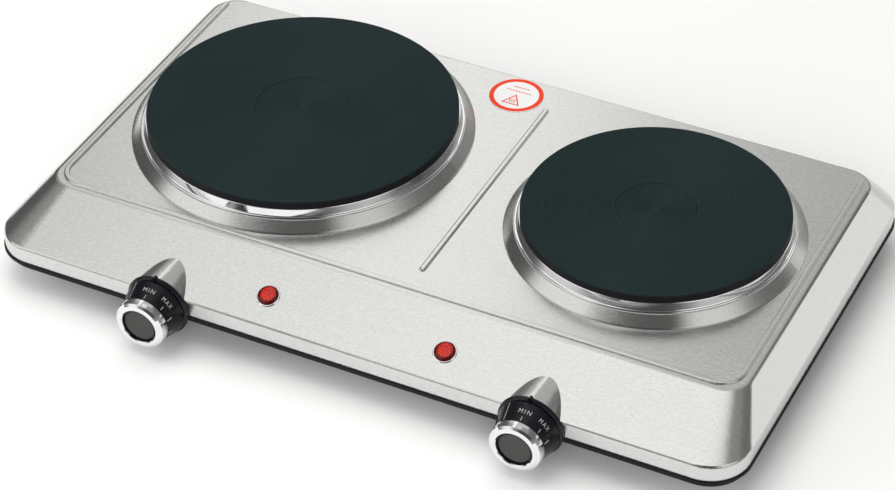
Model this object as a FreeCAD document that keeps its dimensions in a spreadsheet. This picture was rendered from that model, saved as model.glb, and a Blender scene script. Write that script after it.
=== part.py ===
import FreeCAD, Part
import math
import os

import Sketcher

# Twin hot plate. The body is first laid out about its own middle: +X to the right, +Y to the
# back, +Z up, the table at zero. Every sub-part is then moved back by depth_shift, so that the
# origin is at the middle of the whole object, knobs included.

os.makedirs("parts", exist_ok=True)
doc = FreeCAD.newDocument("HotPlate")
V = FreeCAD.Vector
TINY = 1e-6
TOOL_LOW = 40.0
TOOL_LENGTH = 20.0
COS_30 = math.cos(math.radians(30))

SIZES = {
    # housing
    "foot_height": 14.0,
    "band_low": 20.4,
    "band_top": 30.3,
    "deck_z": 48.0,
    "half_width": 231.5,
    "half_depth": 133.9,
    "deck_half_width": 216.9,
    "deck_front": 91.5,
    "deck_back": 119.8,
    "band_corner": 24.0,
    "deck_corner": 16.0,
    "sheet": 0.9,
    "inner_band_top": 29.7,
    "inner_side_inset": 0.42,
    "inner_front_inset": 0.18,
    "deck_round": 4.0,
    "band_round": 1.8,
    "depth_shift": 10.6,
    # pressed beads
    "bead_width": 3.6,
    "bead_rise": 1.1,
    "bead_round": 1.0,
    "bead_x": 211.5,
    "bead_front": 87.0,
    "bead_back": 111.5,
    "bead_corner": 14.0,
    "mid_bead_x": 17.4,
    "mid_bead_front": 71.5,
    "mid_bead_back": 95.9,
    # burner collars pressed in the deck
    "collar_rise": 6.0,
    "collar_foot": 9.5,
    "collar_shoulder": 3.4,
    "collar_inner": 1.0,
    "collar_edge": 0.5,
    "collar_wall": 0.8,
    "collar_flange": 1.2,
    # burners
    "large_x": -105.7,
    "large_radius": 92.5,
    "small_x": 120.8,
    "small_radius": 77.0,
    "burner_y": 18.2,
    "plate_z": 64.0,
    "plate_side": 4.6,
    "plate_chamfer": 0.9,
    "plate_neck": 3.4,
    "plate_low": 50.0,
    "plate_web": 7.0,
    "rim_wall": 3.4,
    "large_recess": 28.7,
    "small_recess": 23.6,
    "recess_depth": 0.5,
    "boss_radius": 11.0,
    "fill_depth": 5.6,
    "coil_tube": 1.9,
    "coil_z": 54.2,
    "coil_pitch": 15.0,
    "coil_inner": 38.0,
    "tail_radius": 1.0,
    "tail_low": 46.0,
    "cover_gauge": 0.8,
    "stud_radius": 3.0,
    "stud_low": 31.0,
    "stud_high": 56.0,
    "bar_length": 216.0,
    "bar_short": 186.0,
    "bar_width": 18.0,
    "bar_gauge": 2.0,
    "nut_across": 10.0,
    "nut_height": 5.0,
    "shield_gauge": 0.8,
    "shield_rim": 4.0,
    "shield_margin": 6.0,
    "block_width": 18.0,
    "block_height": 8.0,
    # overfall rings
    "ring_gauge": 0.7,
    "ring_top_out": 0.9,
    "ring_foot_out": 1.7,
    "ring_lip_out": 3.2,
    # knobs
    "knob_left_x": -117.5,
    "knob_right_x": 114.5,
    "knob_z": 22.5,
    "dome_mouth": 18.5,
    "dome_nose": 15.0,
    "dome_nose_lift": 1.6,
    "dome_length": 24.0,
    "bezel_radius": 19.5,
    "bezel_gauge": 2.6,
    "bezel_bore": 6.0,
    "knob_gap": 0.5,
    "knob_back_radius": 18.2,
    "knob_front_radius": 15.2,
    "knob_end": 16.4,
    "knob_wall": 2.0,
    "knob_boss": 5.5,
    "trim_radius": 15.6,
    "trim_nose": 13.7,
    "trim_opening": 10.8,
    "trim_end": 22.6,
    "cap_radius": 11.3,
    "cap_face": 21.2,
    "cap_bevel": 1.9,
    "cap_bevel_drop": 0.5,
    "shaft_radius": 3.0,
    "shaft_fit": 0.03,
    "shaft_reach": 18.4,
    "shaft_tail": 20.0,
    "shaft_hole": 5.6,
    "bush_radius": 4.8,
    # thermostats behind the front band
    "thermostat_front": 129.9,
    "thermostat_back": 111.0,
    "thermostat_half": 15.0,
    "thermostat_low": 15.8,
    "thermostat_high": 29.6,
    "bracket_gauge": 1.2,
    "bracket_half": 17.0,
    "bracket_high": 29.0,
    "bracket_foot": 10.0,
    "rivet_radius": 2.5,
    "rivet_height": 1.0,
    "rivet_set": 3.5,
    "tab_half": 2.5,
    "tab_gauge": 1.0,
    "tab_low": 24.9,
    "tab_height": 2.2,
    "tab_offset": 9.0,
    # pilot lamps
    "lamp_left_x": -55.6,
    "lamp_right_x": 54.4,
    "lamp_y": 116.6,
    "lamp_hole": 5.0,
    "lens_radius": 6.2,
    "lens_rise": 2.1,
    "lens_skirt": 0.8,
    "lamp_rim_out": 0.7,
    "lamp_rim_rise": 0.6,
    "lamp_stem": 4.7,
    "lamp_length": 12.0,
    # base pan
    "pan_gauge": 1.0,
    "pan_inset": 1.5,
    "lip_out": 0.8,
    "lip_gauge": 1.5,
    "pan_round": 2.5,
    "vent_length": 26.0,
    "vent_width": 4.0,
    "vent_pitch": 10.0,
    "vent_offset": 44.0,
    "shaft_slot_half": 6.5,
    "shaft_slot_low": 16.2,
    # feet, posts, screws
    "foot_radius": 9.0,
    "foot_top_radius": 7.6,
    "foot_x": 180.0,
    "foot_front": 100.0,
    "foot_back": 104.0,
    "foot_dish": 5.2,
    "foot_dish_depth": 5.0,
    "post_x": 200.0,
    "post_front": 72.0,
    "post_back": 105.0,
    "post_radius": 4.0,
    "screw_radius": 1.6,
    "screw_head": 3.6,
    "screw_head_height": 1.8,
    # mains entry
    "mains_left": 0.0,
    "mains_right": 36.0,
    "mains_front": 95.0,
    "mains_back": 113.0,
    "mains_high": 29.0,
    "well_radius": 2.4,
    "well_depth": 5.0,
    "well_inset": 6.0,
    "well_pitch": 12.0,
    "gland_x": 18.0,
    "gland_z": 26.3,
    "gland_radius": 4.4,
    "gland_flange": 5.7,
    "gland_bore": 3.4,
    "gland_flange_gauge": 1.4,
    "gland_depth": 6.0,
    "earth_x": 54.0,
    "earth_y": 104.5,
    "earth_washer": 4.0,
    "earth_gauge": 1.0,
    "earth_shank": 1.9,
    "earth_length": 7.0,
    "earth_nut": 7.0,
    "earth_nut_height": 3.0,
    "earth_tag_top": 3.2,
    "earth_tag_reach": 6.0,
    "earth_tag_half": 2.0,
    # leads
    "lead_radius": 1.1,
    "lead_bend": 4.0,
    "lamp_lead_bend": 1.8,
    "high_run": 43.0,
    "low_run": 18.0,
    "lamp_run": 21.6,
    "tab_run": 26.0,
    "neutral_run": 23.0,
    "rear_run": 120.0,
    "front_run": 120.0,
    "side_run": 35.0,
    "mains_clear": 22.0,
    "lamp_clear": 22.0,
    "line_offset": 6.0,
    "line_spread": 8.0,
    # round hot-surface mark
    "mark_x": -5.3,
    "mark_y": 101.3,
    "mark_radius": 16.8,
    "mark_gauge": 0.25,
}


# ---------------------------------------------------------------- sheet and sizes

sheet = doc.addObject("Spreadsheet::Sheet", "Sheet")
for row, (alias, number) in enumerate(SIZES.items(), start=1):
    sheet.set(f"A{row}", alias)
    sheet.set(f"B{row}", str(number))
    sheet.setAlias(f"B{row}", alias)
doc.recompute()


class Size:
    """A length together with the sheet expression that gives it."""

    def __init__(self, value, text):
        self.value = value
        self.text = text

    def __add__(self, other):
        other = as_size(other)
        return Size(self.value + other.value, f"({self.text} + {other.text})")

    def __sub__(self, other):
        other = as_size(other)
        return Size(self.value - other.value, f"({self.text} - {other.text})")

    def __mul__(self, other):
        other = as_size(other)
        return Size(self.value * other.value, f"({self.text} * {other.text})")

    def __truediv__(self, other):
        other = as_size(other)
        return Size(self.value / other.value, f"({self.text} / {other.text})")

    def __neg__(self):
        return Size(-self.value, f"(-1 * {self.text})")

    __radd__ = __add__


def as_size(number):
    if isinstance(number, Size):
        return number
    return Size(float(number), f"({float(number)})")


class SheetSizes:
    """Gives every alias of the sheet as a Size."""

    def __getattr__(self, alias):
        return Size(SIZES[alias], f"Sheet.{alias}")


S = SheetSizes()


def bind(thing, prop, size):
    thing.setExpression(prop, as_size(size).text)


def place(thing, x=0.0, y=0.0, z=0.0, turn=None):
    """Put a shape or body at a point of the layout, with an optional rotation."""
    spot = [as_size(value) for value in (x, y, z)]
    base = V(*[value.value for value in spot])
    thing.Placement = FreeCAD.Placement(base, turn or FreeCAD.Rotation())
    for axis, value in zip("xyz", spot):
        thing.setExpression(f"Placement.Base.{axis}", value.text)


# ---------------------------------------------------------------- sketches and features

def new_body(name):
    return doc.addObject("PartDesign::Body", name)


def sketch_on(body, name, plane, shift=(0, 0, 0)):
    """A sketch on one of the body's own planes, moved in the plane's own directions."""
    sketch = body.newObject("Sketcher::SketchObject", name)
    support = [item for item in body.Origin.OriginFeatures if item.Role == f"{plane}_Plane"][0]
    sketch.AttachmentSupport = [(support, "")]
    sketch.MapMode = "FlatFace"
    sizes = [as_size(value) for value in shift]
    base = V(*[value.value for value in sizes])
    sketch.AttachmentOffset = FreeCAD.Placement(base, FreeCAD.Rotation())
    for axis, value in zip("xyz", sizes):
        if abs(value.value) > TINY:
            sketch.setExpression(f"AttachmentOffset.Base.{axis}", value.text)
    return sketch


def pin(sketch, item, point, x, y):
    """Fix a sketch point by its distances from the sketch origin."""
    for kind, size, axis in (("DistanceX", as_size(x), -2), ("DistanceY", as_size(y), -1)):
        if abs(size.value) < TINY:
            sketch.addConstraint(Sketcher.Constraint("PointOnObject", item, point, axis))
            continue
        index = sketch.addConstraint(
            Sketcher.Constraint(kind, -1, 1, item, point, size.value))
        sketch.setExpression(f"Constraints[{index}]", size.text)


def polygon(sketch, corners):
    """A closed outline of straight lines, every corner pinned."""
    points = [V(as_size(x).value, as_size(y).value, 0) for x, y in corners]
    first = sketch.GeometryCount
    count = len(points)
    for index, start in enumerate(points):
        sketch.addGeometry(Part.LineSegment(start, points[(index + 1) % count]), False)
    for index in range(count):
        following = first + (index + 1) % count
        sketch.addConstraint(Sketcher.Constraint("Coincident", first + index, 2, following, 1))
    for index, (x, y) in enumerate(corners):
        pin(sketch, first + index, 1, x, y)


def set_radius(sketch, item, radius):
    index = sketch.addConstraint(Sketcher.Constraint("Radius", item, radius.value))
    sketch.setExpression(f"Constraints[{index}]", radius.text)


def circle(sketch, x, y, radius):
    x, y, radius = as_size(x), as_size(y), as_size(radius)
    ring = Part.Circle(V(x.value, y.value, 0), V(0, 0, 1), radius.value)
    item = sketch.addGeometry(ring, False)
    set_radius(sketch, item, radius)
    pin(sketch, item, 3, x, y)


def rectangle(sketch, left, right, low, high):
    polygon(sketch, [(left, low), (right, low), (right, high), (left, high)])


def arc_path(sketch, corners, radius):
    """A closed outline of axis-parallel lines whose corners are rounded outwards.

    corners holds (x, y, x step, y step) going round anticlockwise: the steps are -1 or 1 and
    point from the corner towards the arc's centre.
    """
    first = sketch.GeometryCount
    count = len(corners)
    ends = []
    for index, (x, y, step_x, step_y) in enumerate(corners):
        along_x = (as_size(x) + radius * step_x, as_size(y))
        along_y = (as_size(x), as_size(y) + radius * step_y)
        arrives_along_x = step_x * step_y < 0
        pair = (along_x, along_y) if arrives_along_x else (along_y, along_x)
        ends.append(pair)
    for index in range(count):
        start = ends[index][1]
        stop = ends[(index + 1) % count][0]
        line = Part.LineSegment(
            V(start[0].value, start[1].value, 0), V(stop[0].value, stop[1].value, 0))
        item = sketch.addGeometry(line, False)
        pin(sketch, item, 1, *start)
        pin(sketch, item, 2, *stop)
    for index, (x, y, step_x, step_y) in enumerate(corners):
        centre = V(as_size(x).value + radius.value * step_x,
                   as_size(y).value + radius.value * step_y, 0)
        enter = ends[index][0]
        begin = math.atan2(enter[1].value - centre.y, enter[0].value - centre.x)
        ring = Part.Circle(centre, V(0, 0, 1), radius.value)
        arc = sketch.addGeometry(Part.ArcOfCircle(ring, begin, begin + math.pi / 2), False)
        before = first + (index - 1) % count
        sketch.addConstraint(Sketcher.Constraint("Coincident", before, 2, arc, 1))
        sketch.addConstraint(Sketcher.Constraint("Coincident", first + index, 1, arc, 2))
        set_radius(sketch, arc, radius)


def rounded_rectangle(sketch, left, right, low, high, radius):
    corners = [(left, low, 1, 1), (right, low, -1, 1), (right, high, -1, -1), (left, high, 1, -1)]
    arc_path(sketch, corners, as_size(radius))


def pad(body, sketch, name, length, reverse=False):
    feature = body.newObject("PartDesign::Pad", name)
    feature.Profile = sketch
    bind(feature, "Length", length)
    feature.Reversed = reverse
    return feature


def pocket(body, sketch, name, length, reverse=False):
    feature = body.newObject("PartDesign::Pocket", name)
    feature.Profile = sketch
    bind(feature, "Length", length)
    feature.Reversed = reverse
    return feature


def turn_about_axis(body, sketch, name, kind="PartDesign::Revolution"):
    feature = body.newObject(kind, name)
    feature.Profile = sketch
    feature.ReferenceAxis = (sketch, ["V_Axis"])
    feature.Angle = 360.0
    return feature


def loft(body, first, second, name, kind="PartDesign::AdditiveLoft"):
    feature = body.newObject(kind, name)
    feature.Profile = first
    feature.Sections = [second]
    feature.Ruled = True
    return feature


def fillet(body, feature, name, radius, wanted):
    """Round every edge of the feature's shape for which wanted(edge) is true."""
    doc.recompute()
    names = [f"Edge{number}" for number, edge in enumerate(feature.Shape.Edges, start=1)
             if wanted(edge)]
    if not names:
        raise ValueError(f"{name}: no edge to round")
    rounded = body.newObject("PartDesign::Fillet", name)
    rounded.Base = (feature, names)
    bind(rounded, "Radius", radius)
    doc.recompute()
    return rounded


def level_edge(edge, height):
    """True when both ends of the edge and its middle lie at one height."""
    middle = edge.valueAt((edge.FirstParameter + edge.LastParameter) / 2)
    points = [vertex.Point for vertex in edge.Vertexes] + [middle]
    return all(abs(point.z - height) < 1e-3 for point in points)


# ---------------------------------------------------------------- plain solids

def cylinder(name, radius, height, x=0.0, y=0.0, z=0.0, turn=None):
    solid = doc.addObject("Part::Cylinder", name)
    bind(solid, "Radius", radius)
    bind(solid, "Height", height)
    place(solid, x, y, z, turn)
    return solid


def box(name, left, right, front, back, low, high):
    solid = doc.addObject("Part::Box", name)
    bind(solid, "Length", as_size(right) - left)
    bind(solid, "Width", as_size(back) - front)
    bind(solid, "Height", as_size(high) - low)
    place(solid, left, front, low)
    return solid


def hexagon(name, across, height, x, y, z):
    solid = doc.addObject("Part::Prism", name)
    solid.Polygon = 6
    bind(solid, "Circumradius", as_size(across) / (2 * COS_30))
    bind(solid, "Height", height)
    place(solid, x, y, z)
    return solid


def cut(name, base, tool):
    result = doc.addObject("Part::Cut", name)
    result.Base = base
    result.Tool = tool
    return result


def fuse(name, solids):
    result = doc.addObject("Part::MultiFuse", name)
    result.Shapes = solids
    return result


def group(name, solids):
    result = doc.addObject("Part::Compound", name)
    result.Links = solids
    return result


# ---------------------------------------------------------------- list of sub-parts

finished = []


def finish(thing, label, x=0.0, y=0.0, z=0.0, turn=None):
    """Name a sub-part and put it in the shared frame."""
    place(thing, x, as_size(y) + S.depth_shift, z, turn)
    thing.Label = label
    finished.append(thing)
    return thing


FACING_FRONT = FreeCAD.Rotation(V(1, 0, 0), 90)
SLOPE_ANGLE = math.degrees(math.atan2(
    SIZES["deck_z"] - SIZES["band_top"], SIZES["half_depth"] - SIZES["deck_front"]))
LAMP_TURN = FreeCAD.Rotation(V(1, 0, 0), SLOPE_ANGLE)
BURNERS = {
    "large": (S.large_x, S.large_radius, S.large_recess, S.bar_length, 3),
    "small": (S.small_x, S.small_radius, S.small_recess, S.bar_short, 2),
}
SIDES = {"left": S.knob_left_x, "right": S.knob_right_x}
LAMPS = {"left": S.lamp_left_x, "right": S.lamp_right_x}


# ---------------------------------------------------------------- top cover

def slope_height(y):
    """Height of the front slope's outer face at a distance y in front of the middle."""
    fall = (S.deck_z - S.band_top) / (S.half_depth - S.deck_front)
    return S.deck_z - (y - S.deck_front) * fall


def cover_shell(body):
    """The stamped outer form: flat deck, sloping skirts and the upright band."""
    deck = sketch_on(body, "DeckOutline", "XY", (0, 0, S.deck_z))
    rounded_rectangle(deck, -S.deck_half_width, S.deck_half_width,
                      -S.deck_front, S.deck_back, S.deck_corner)
    band = sketch_on(body, "BandOutline", "XY", (0, 0, S.band_top))
    rounded_rectangle(band, -S.half_width, S.half_width,
                      -S.half_depth, S.half_depth, S.band_corner)
    loft(body, deck, band, "Skirt")
    wall = pad(body, band, "Band", S.band_top - S.band_low, reverse=True)
    deck_height = SIZES["deck_z"]
    rounded = fillet(body, wall, "DeckRound", S.deck_round,
                     lambda edge: level_edge(edge, deck_height))
    band_height = SIZES["band_top"]
    return fillet(body, rounded, "BandRound", S.band_round,
                  lambda edge: level_edge(edge, band_height))


def dome_profile(body, name, x, y, centre_z, radius):
    """Round-topped outline of a knob dome, cut off flat at the bottom of the band."""
    sketch = sketch_on(body, name, "XZ", (x, 0, y))
    drop = centre_z.value - SIZES["band_low"]
    reach = math.sqrt(radius.value ** 2 - drop ** 2)
    start = math.atan2(-drop, reach)
    ring = Part.Circle(V(0, centre_z.value, 0), V(0, 0, 1), radius.value)
    arc = sketch.addGeometry(Part.ArcOfCircle(ring, start, math.pi - start), False)
    floor = sketch.addGeometry(Part.LineSegment(
        V(-reach, SIZES["band_low"], 0), V(reach, SIZES["band_low"], 0)), False)
    sketch.addConstraint(Sketcher.Constraint("Coincident", arc, 2, floor, 1))
    sketch.addConstraint(Sketcher.Constraint("Coincident", arc, 1, floor, 2))
    sketch.addConstraint(Sketcher.Constraint("Horizontal", floor))
    level = sketch.addConstraint(
        Sketcher.Constraint("DistanceY", -1, 1, floor, 1, SIZES["band_low"]))
    sketch.setExpression(f"Constraints[{level}]", "Sheet.band_low")
    pin(sketch, arc, 3, 0, centre_z)
    set_radius(sketch, arc, radius)
    return sketch


def dome(body, side, x, inset, kind):
    """One knob dome; inset is the sheet thickness when the inner side is cut."""
    inside = as_size(inset)
    label = f"{side.title()}{'Inner' if inside.value else 'Outer'}"
    mouth = dome_profile(body, f"DomeMouth{label}", x, S.half_depth - inside,
                         S.knob_z, S.dome_mouth - inside)
    nose = dome_profile(body, f"DomeNose{label}", x, S.half_depth - S.dome_length,
                        S.knob_z + S.dome_nose_lift, S.dome_nose - inside)
    return loft(body, mouth, nose, f"Dome{label}", kind)


def cover_collar(body, size, x, radius):
    """The pressed seat that rises round a burner."""
    sketch = sketch_on(body, f"Collar{size}", "XZ", (x, 0, -S.burner_y))
    foot = radius + S.collar_foot
    shoulder = radius + S.collar_shoulder
    inner = radius - S.collar_inner
    top = S.deck_z + S.collar_rise
    polygon(sketch, [
        (foot, S.deck_z), (foot, S.deck_z + S.collar_edge),
        (foot - S.collar_edge / 2, S.deck_z + S.collar_edge * 1.6),
        (shoulder + S.collar_edge, top - S.collar_edge / 4), (shoulder, top),
        (inner, top), (inner, top - S.sheet),
        (shoulder - S.collar_wall, top - S.sheet),
        (foot - S.collar_wall, S.deck_z - S.sheet),
        (foot + S.collar_flange, S.deck_z - S.sheet), (foot + S.collar_flange, S.deck_z),
    ])
    return turn_about_axis(body, sketch, f"CollarRing{size}")


def cover_opening(body, size, x, radius):
    """Opening under a burner, cut before its collar is added."""
    sketch = sketch_on(body, f"Opening{size}", "XY", (0, 0, S.deck_z + 1))
    circle(sketch, x, S.burner_y, radius + S.collar_foot)
    return pocket(body, sketch, f"BurnerOpening{size}", 4)


def cover_cavity(body):
    """Everything inside the sheet metal."""
    under_deck = sketch_on(body, "CavityTop", "XY", (0, 0, S.deck_z - S.sheet))
    side = S.deck_half_width - S.inner_side_inset
    rounded_rectangle(under_deck, -side, side, -S.deck_front + S.inner_front_inset,
                      S.deck_back - S.inner_side_inset, S.deck_corner)
    behind_band = sketch_on(body, "CavityLow", "XY", (0, 0, S.inner_band_top))
    width = S.half_width - S.sheet
    depth = S.half_depth - S.sheet
    rounded_rectangle(behind_band, -width, width, -depth, depth, S.band_corner - S.sheet)
    loft(body, under_deck, behind_band, "Cavity", "PartDesign::SubtractiveLoft")
    return pocket(body, behind_band, "BandCavity", S.inner_band_top - S.band_low + 1)


def cover_beads(body):
    """The raised U-shaped bead and the straight one between the burners."""
    half = S.bead_width / 2
    sketch = sketch_on(body, "BeadOutline", "XY", (0, 0, S.deck_z - 0.3))
    outer_x = S.bead_x + half
    inner_x = S.bead_x - half
    low_out = -S.bead_front - half
    low_in = -S.bead_front + half
    outer = S.bead_corner + half
    inner = S.bead_corner - half
    bead_u(sketch, outer_x, inner_x, low_out, low_in, outer, inner)
    outer_bead = pad(body, sketch, "Bead", S.bead_rise + 0.3)
    middle = sketch_on(body, "MiddleBeadOutline", "XY", (0, 0, S.deck_z - 0.3))
    rounded_rectangle(middle, S.mid_bead_x - half, S.mid_bead_x + half,
                      -S.mid_bead_front, S.mid_bead_back, half - 0.02)
    middle_bead = pad(body, middle, "MiddleBead", S.bead_rise + 0.3)
    top = SIZES["deck_z"] + SIZES["bead_rise"]
    return fillet(body, middle_bead, "BeadRound", S.bead_round,
                  lambda edge: level_edge(edge, top))


def bead_u(sketch, outer_x, inner_x, low_out, low_in, outer, inner):
    """A U open at the back, with rounded front corners and round ends."""
    back = S.bead_back
    half = S.bead_width / 2
    corners = [
        (-outer_x, back), (-outer_x, low_out + outer), (-outer_x + outer, low_out),
        (outer_x - outer, low_out), (outer_x, low_out + outer), (outer_x, back),
        (inner_x, back), (inner_x, low_in + inner), (inner_x - inner, low_in),
        (-inner_x + inner, low_in), (-inner_x, low_in + inner), (-inner_x, back),
    ]
    rounds = {1: (outer, math.pi), 3: (outer, -math.pi / 2), 5: (half, 0.0),
              7: (inner, -math.pi / 2), 9: (inner, math.pi), 11: (half, 0.0)}
    points = [V(x.value, y.value, 0) for x, y in corners]
    items = []
    for index, start in enumerate(points):
        end = points[(index + 1) % len(points)]
        if index not in rounds:
            item = sketch.addGeometry(Part.LineSegment(start, end), False)
            pin(sketch, item, 1, *corners[index])
            pin(sketch, item, 2, *corners[(index + 1) % len(corners)])
            items.append((item, 1, 2))
            continue
        radius, begin = rounds[index]
        inward = index in (7, 9)
        centre = {1: V(end.x, start.y, 0), 3: V(start.x, end.y, 0), 5: (start + end) * 0.5,
                  7: V(end.x, start.y, 0), 9: V(start.x, end.y, 0), 11: (start + end) * 0.5}[index]
        span = math.pi if index in (5, 11) else math.pi / 2
        ring = Part.Circle(centre, V(0, 0, 1), radius.value)
        item = sketch.addGeometry(Part.ArcOfCircle(ring, begin, begin + span), False)
        if index in (5, 11):
            level = sketch.addConstraint(
                Sketcher.Constraint("DistanceY", -1, 1, item, 3, back.value))
            sketch.setExpression(f"Constraints[{level}]", back.text)
        else:
            set_radius(sketch, item, radius)
        items.append((item, 2, 1) if inward else (item, 1, 2))
    for index, (item, first, last) in enumerate(items):
        following = items[(index + 1) % len(items)]
        if index in rounds or (index + 1) % len(items) in rounds:
            sketch.addConstraint(Sketcher.Constraint(
                "Coincident", item, last, following[0], following[1]))


def cover_holes(body):
    """Holes for the shafts, the lamps and the cord gland."""
    for side, x in SIDES.items():
        hole = sketch_on(body, f"ShaftHole{side.title()}", "XZ", (0, 0, S.half_depth + 1))
        circle(hole, x, S.knob_z, S.shaft_hole)
        pocket(body, hole, f"ShaftOpening{side.title()}", 4)
    gland = sketch_on(body, "GlandHole", "XZ", (0, 0, -(S.half_depth - 4)))
    circle(gland, S.gland_x, S.gland_z, S.gland_radius + 0.1)
    pocket(body, gland, "GlandOpening", 6)
    for side, x in LAMPS.items():
        hole = sketch_on(body, f"LampHole{side}", "XY", (x, -S.lamp_y, slope_height(S.lamp_y)))
        hole.AttachmentOffset = FreeCAD.Placement(hole.AttachmentOffset.Base, LAMP_TURN)
        circle(hole, 0, 0, S.lamp_hole)
        pocket(body, hole, f"LampOpening{side}", 3)


def make_top_cover():
    body = new_body("TopCover")
    cover_shell(body)
    for side, x in SIDES.items():
        dome(body, side, x, 0.0, "PartDesign::AdditiveLoft")
    cover_cavity(body)
    for side, x in SIDES.items():
        dome(body, side, x, S.sheet, "PartDesign::SubtractiveLoft")
    for size, (x, radius, *_) in BURNERS.items():
        cover_opening(body, size.title(), x, radius)
    for size, (x, radius, *_) in BURNERS.items():
        cover_collar(body, size.title(), x, radius)
    cover_beads(body)
    cover_holes(body)
    finish(body, "top_cover")


# ---------------------------------------------------------------- base pan

def make_base_pan():
    body = new_body("BasePan")
    half_width = S.half_width - S.pan_inset
    half_depth = S.half_depth - S.pan_inset
    corner = S.band_corner - S.pan_inset
    outline = sketch_on(body, "PanOutline", "XY", (0, 0, S.foot_height))
    rounded_rectangle(outline, -half_width, half_width, -half_depth, half_depth, corner)
    tray = pad(body, outline, "Tray", S.band_low - S.foot_height)
    low = SIZES["foot_height"]
    fillet(body, tray, "TrayRound", S.pan_round, lambda edge: level_edge(edge, low))
    lip = sketch_on(body, "LipOutline", "XY", (0, 0, S.band_low - S.lip_gauge))
    rounded_rectangle(lip, -S.half_width - S.lip_out, S.half_width + S.lip_out,
                      -S.half_depth - S.lip_out, S.half_depth + S.lip_out,
                      S.band_corner + S.lip_out)
    pad(body, lip, "Lip", S.lip_gauge)
    hollow = sketch_on(body, "HollowOutline", "XY", (0, 0, S.foot_height + S.pan_gauge))
    wall = S.pan_gauge
    rounded_rectangle(hollow, -half_width + wall, half_width - wall,
                      -half_depth + wall, half_depth - wall, corner - wall)
    pocket(body, hollow, "Hollow", TOOL_LENGTH, reverse=True)
    for side, x in SIDES.items():
        notch = sketch_on(body, f"LipNotch{side}", "XZ", (0, 0, S.half_depth + 2))
        reach = S.bezel_radius + 0.3
        rectangle(notch, x - reach, x + reach, S.band_low - S.lip_gauge - 0.5, S.band_low + 1)
        pocket(body, notch, f"LipGap{side}", 2)
        slot = sketch_on(body, f"ShaftNotch{side}", "XZ", (0, 0, S.half_depth))
        rectangle(slot, x - S.shaft_slot_half, x + S.shaft_slot_half, S.shaft_slot_low,
                  S.band_low + 1)
        pocket(body, slot, f"ShaftGap{side}", 4)
    pan_holes(body)
    finish(body, "base_pan")


def pan_holes(body):
    """Screw holes and cooling slots in the floor."""
    screws = sketch_on(body, "FloorHoles", "XY", (0, 0, S.foot_height + 3))
    for side in (-1, 1):
        for y in (-S.foot_front, S.foot_back):
            circle(screws, S.foot_x * side, y, S.screw_radius + 0.1)
        for y in (-S.post_front, S.post_back):
            circle(screws, S.post_x * side, y, S.screw_radius + 0.1)
    pocket(body, screws, "FloorScrewHoles", 6)
    for name, x in (("Large", S.large_x), ("Small", S.small_x)):
        for row in (-1, 1):
            vent_row(body, f"{name}{'Front' if row < 0 else 'Back'}", x, row)


def vent_row(body, name, x, row):
    """A row of equal cooling slots: the first is cut, the others repeat it."""
    half = S.vent_width / 2
    left = x - S.vent_pitch * 3
    near = S.burner_y + S.vent_offset * row - S.vent_length / 2
    slot = sketch_on(body, f"Vent{name}", "XY", (0, 0, S.foot_height + 3))
    rounded_rectangle(slot, left - half, left + half, near, near + S.vent_length, half - 0.02)
    first = pocket(body, slot, f"VentSlot{name}", 6)
    pattern = body.newObject("PartDesign::LinearPattern", f"VentRow{name}")
    pattern.Originals = [first]
    pattern.Direction = (slot, ["H_Axis"])
    bind(pattern, "Length", S.vent_pitch * 6)
    pattern.Occurrences = 7
    body.Tip = pattern


# ---------------------------------------------------------------- burners

def make_plate(size, x, radius, recess):
    """Cast-iron plate: flat top, edge chamfer, neck for the overfall ring, coil channel."""
    body = new_body(f"Plate{size.title()}")
    profile = sketch_on(body, f"PlateProfile{size}", "XZ")
    neck = radius - S.plate_neck
    side_low = S.plate_z - S.plate_side
    channel = S.plate_z - S.plate_web
    polygon(profile, [
        (0, S.plate_z - S.recess_depth), (recess, S.plate_z - S.recess_depth),
        (recess + 0.5, S.plate_z), (radius - S.plate_chamfer, S.plate_z),
        (radius, S.plate_z - S.plate_chamfer), (radius, side_low), (neck, side_low),
        (neck, S.plate_low), (neck - S.rim_wall, S.plate_low),
        (neck - S.rim_wall, channel), (S.boss_radius + 6, channel),
        (S.boss_radius + 6, S.plate_low), (S.boss_radius, S.plate_low),
        (S.boss_radius, channel - 1), (S.boss_radius - 5, channel - 1),
        (S.boss_radius - 5, S.plate_low + 1), (S.stud_radius, S.plate_low + 1),
        (S.stud_radius, S.stud_high), (0, S.stud_high),
    ])
    turn_about_axis(body, profile, f"PlateCasting{size}")
    finish(body, f"plate_{size}", x, S.burner_y)


def make_overfall_ring(size, x, radius):
    """Polished steel ring gripped under the plate's edge, its lip resting on the collar."""
    body = new_body(f"OverfallRing{size.title()}")
    profile = sketch_on(body, f"RingProfile{size}", "XZ")
    top = S.plate_z - S.plate_side
    seat = S.deck_z + S.collar_rise
    gauge = S.ring_gauge
    inner = radius - S.plate_neck
    shoulder = radius + S.ring_top_out
    wall_foot = radius + S.ring_foot_out
    lip = radius + S.ring_lip_out
    polygon(profile, [
        (inner, top - gauge), (inner, top), (shoulder - 0.3, top), (shoulder, top - 0.3),
        (wall_foot, seat + gauge + 0.4), (wall_foot + 0.4, seat + gauge),
        (lip - 0.3, seat + gauge), (lip, seat + gauge * 0.5), (lip - 0.3, seat),
        (wall_foot - 0.6, seat), (wall_foot - 0.9, seat + 0.5), (shoulder - 0.8, top - gauge),
    ])
    turn_about_axis(body, profile, f"Ring{size}")
    finish(body, f"overfall_ring_{size}", x, S.burner_y)


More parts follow.
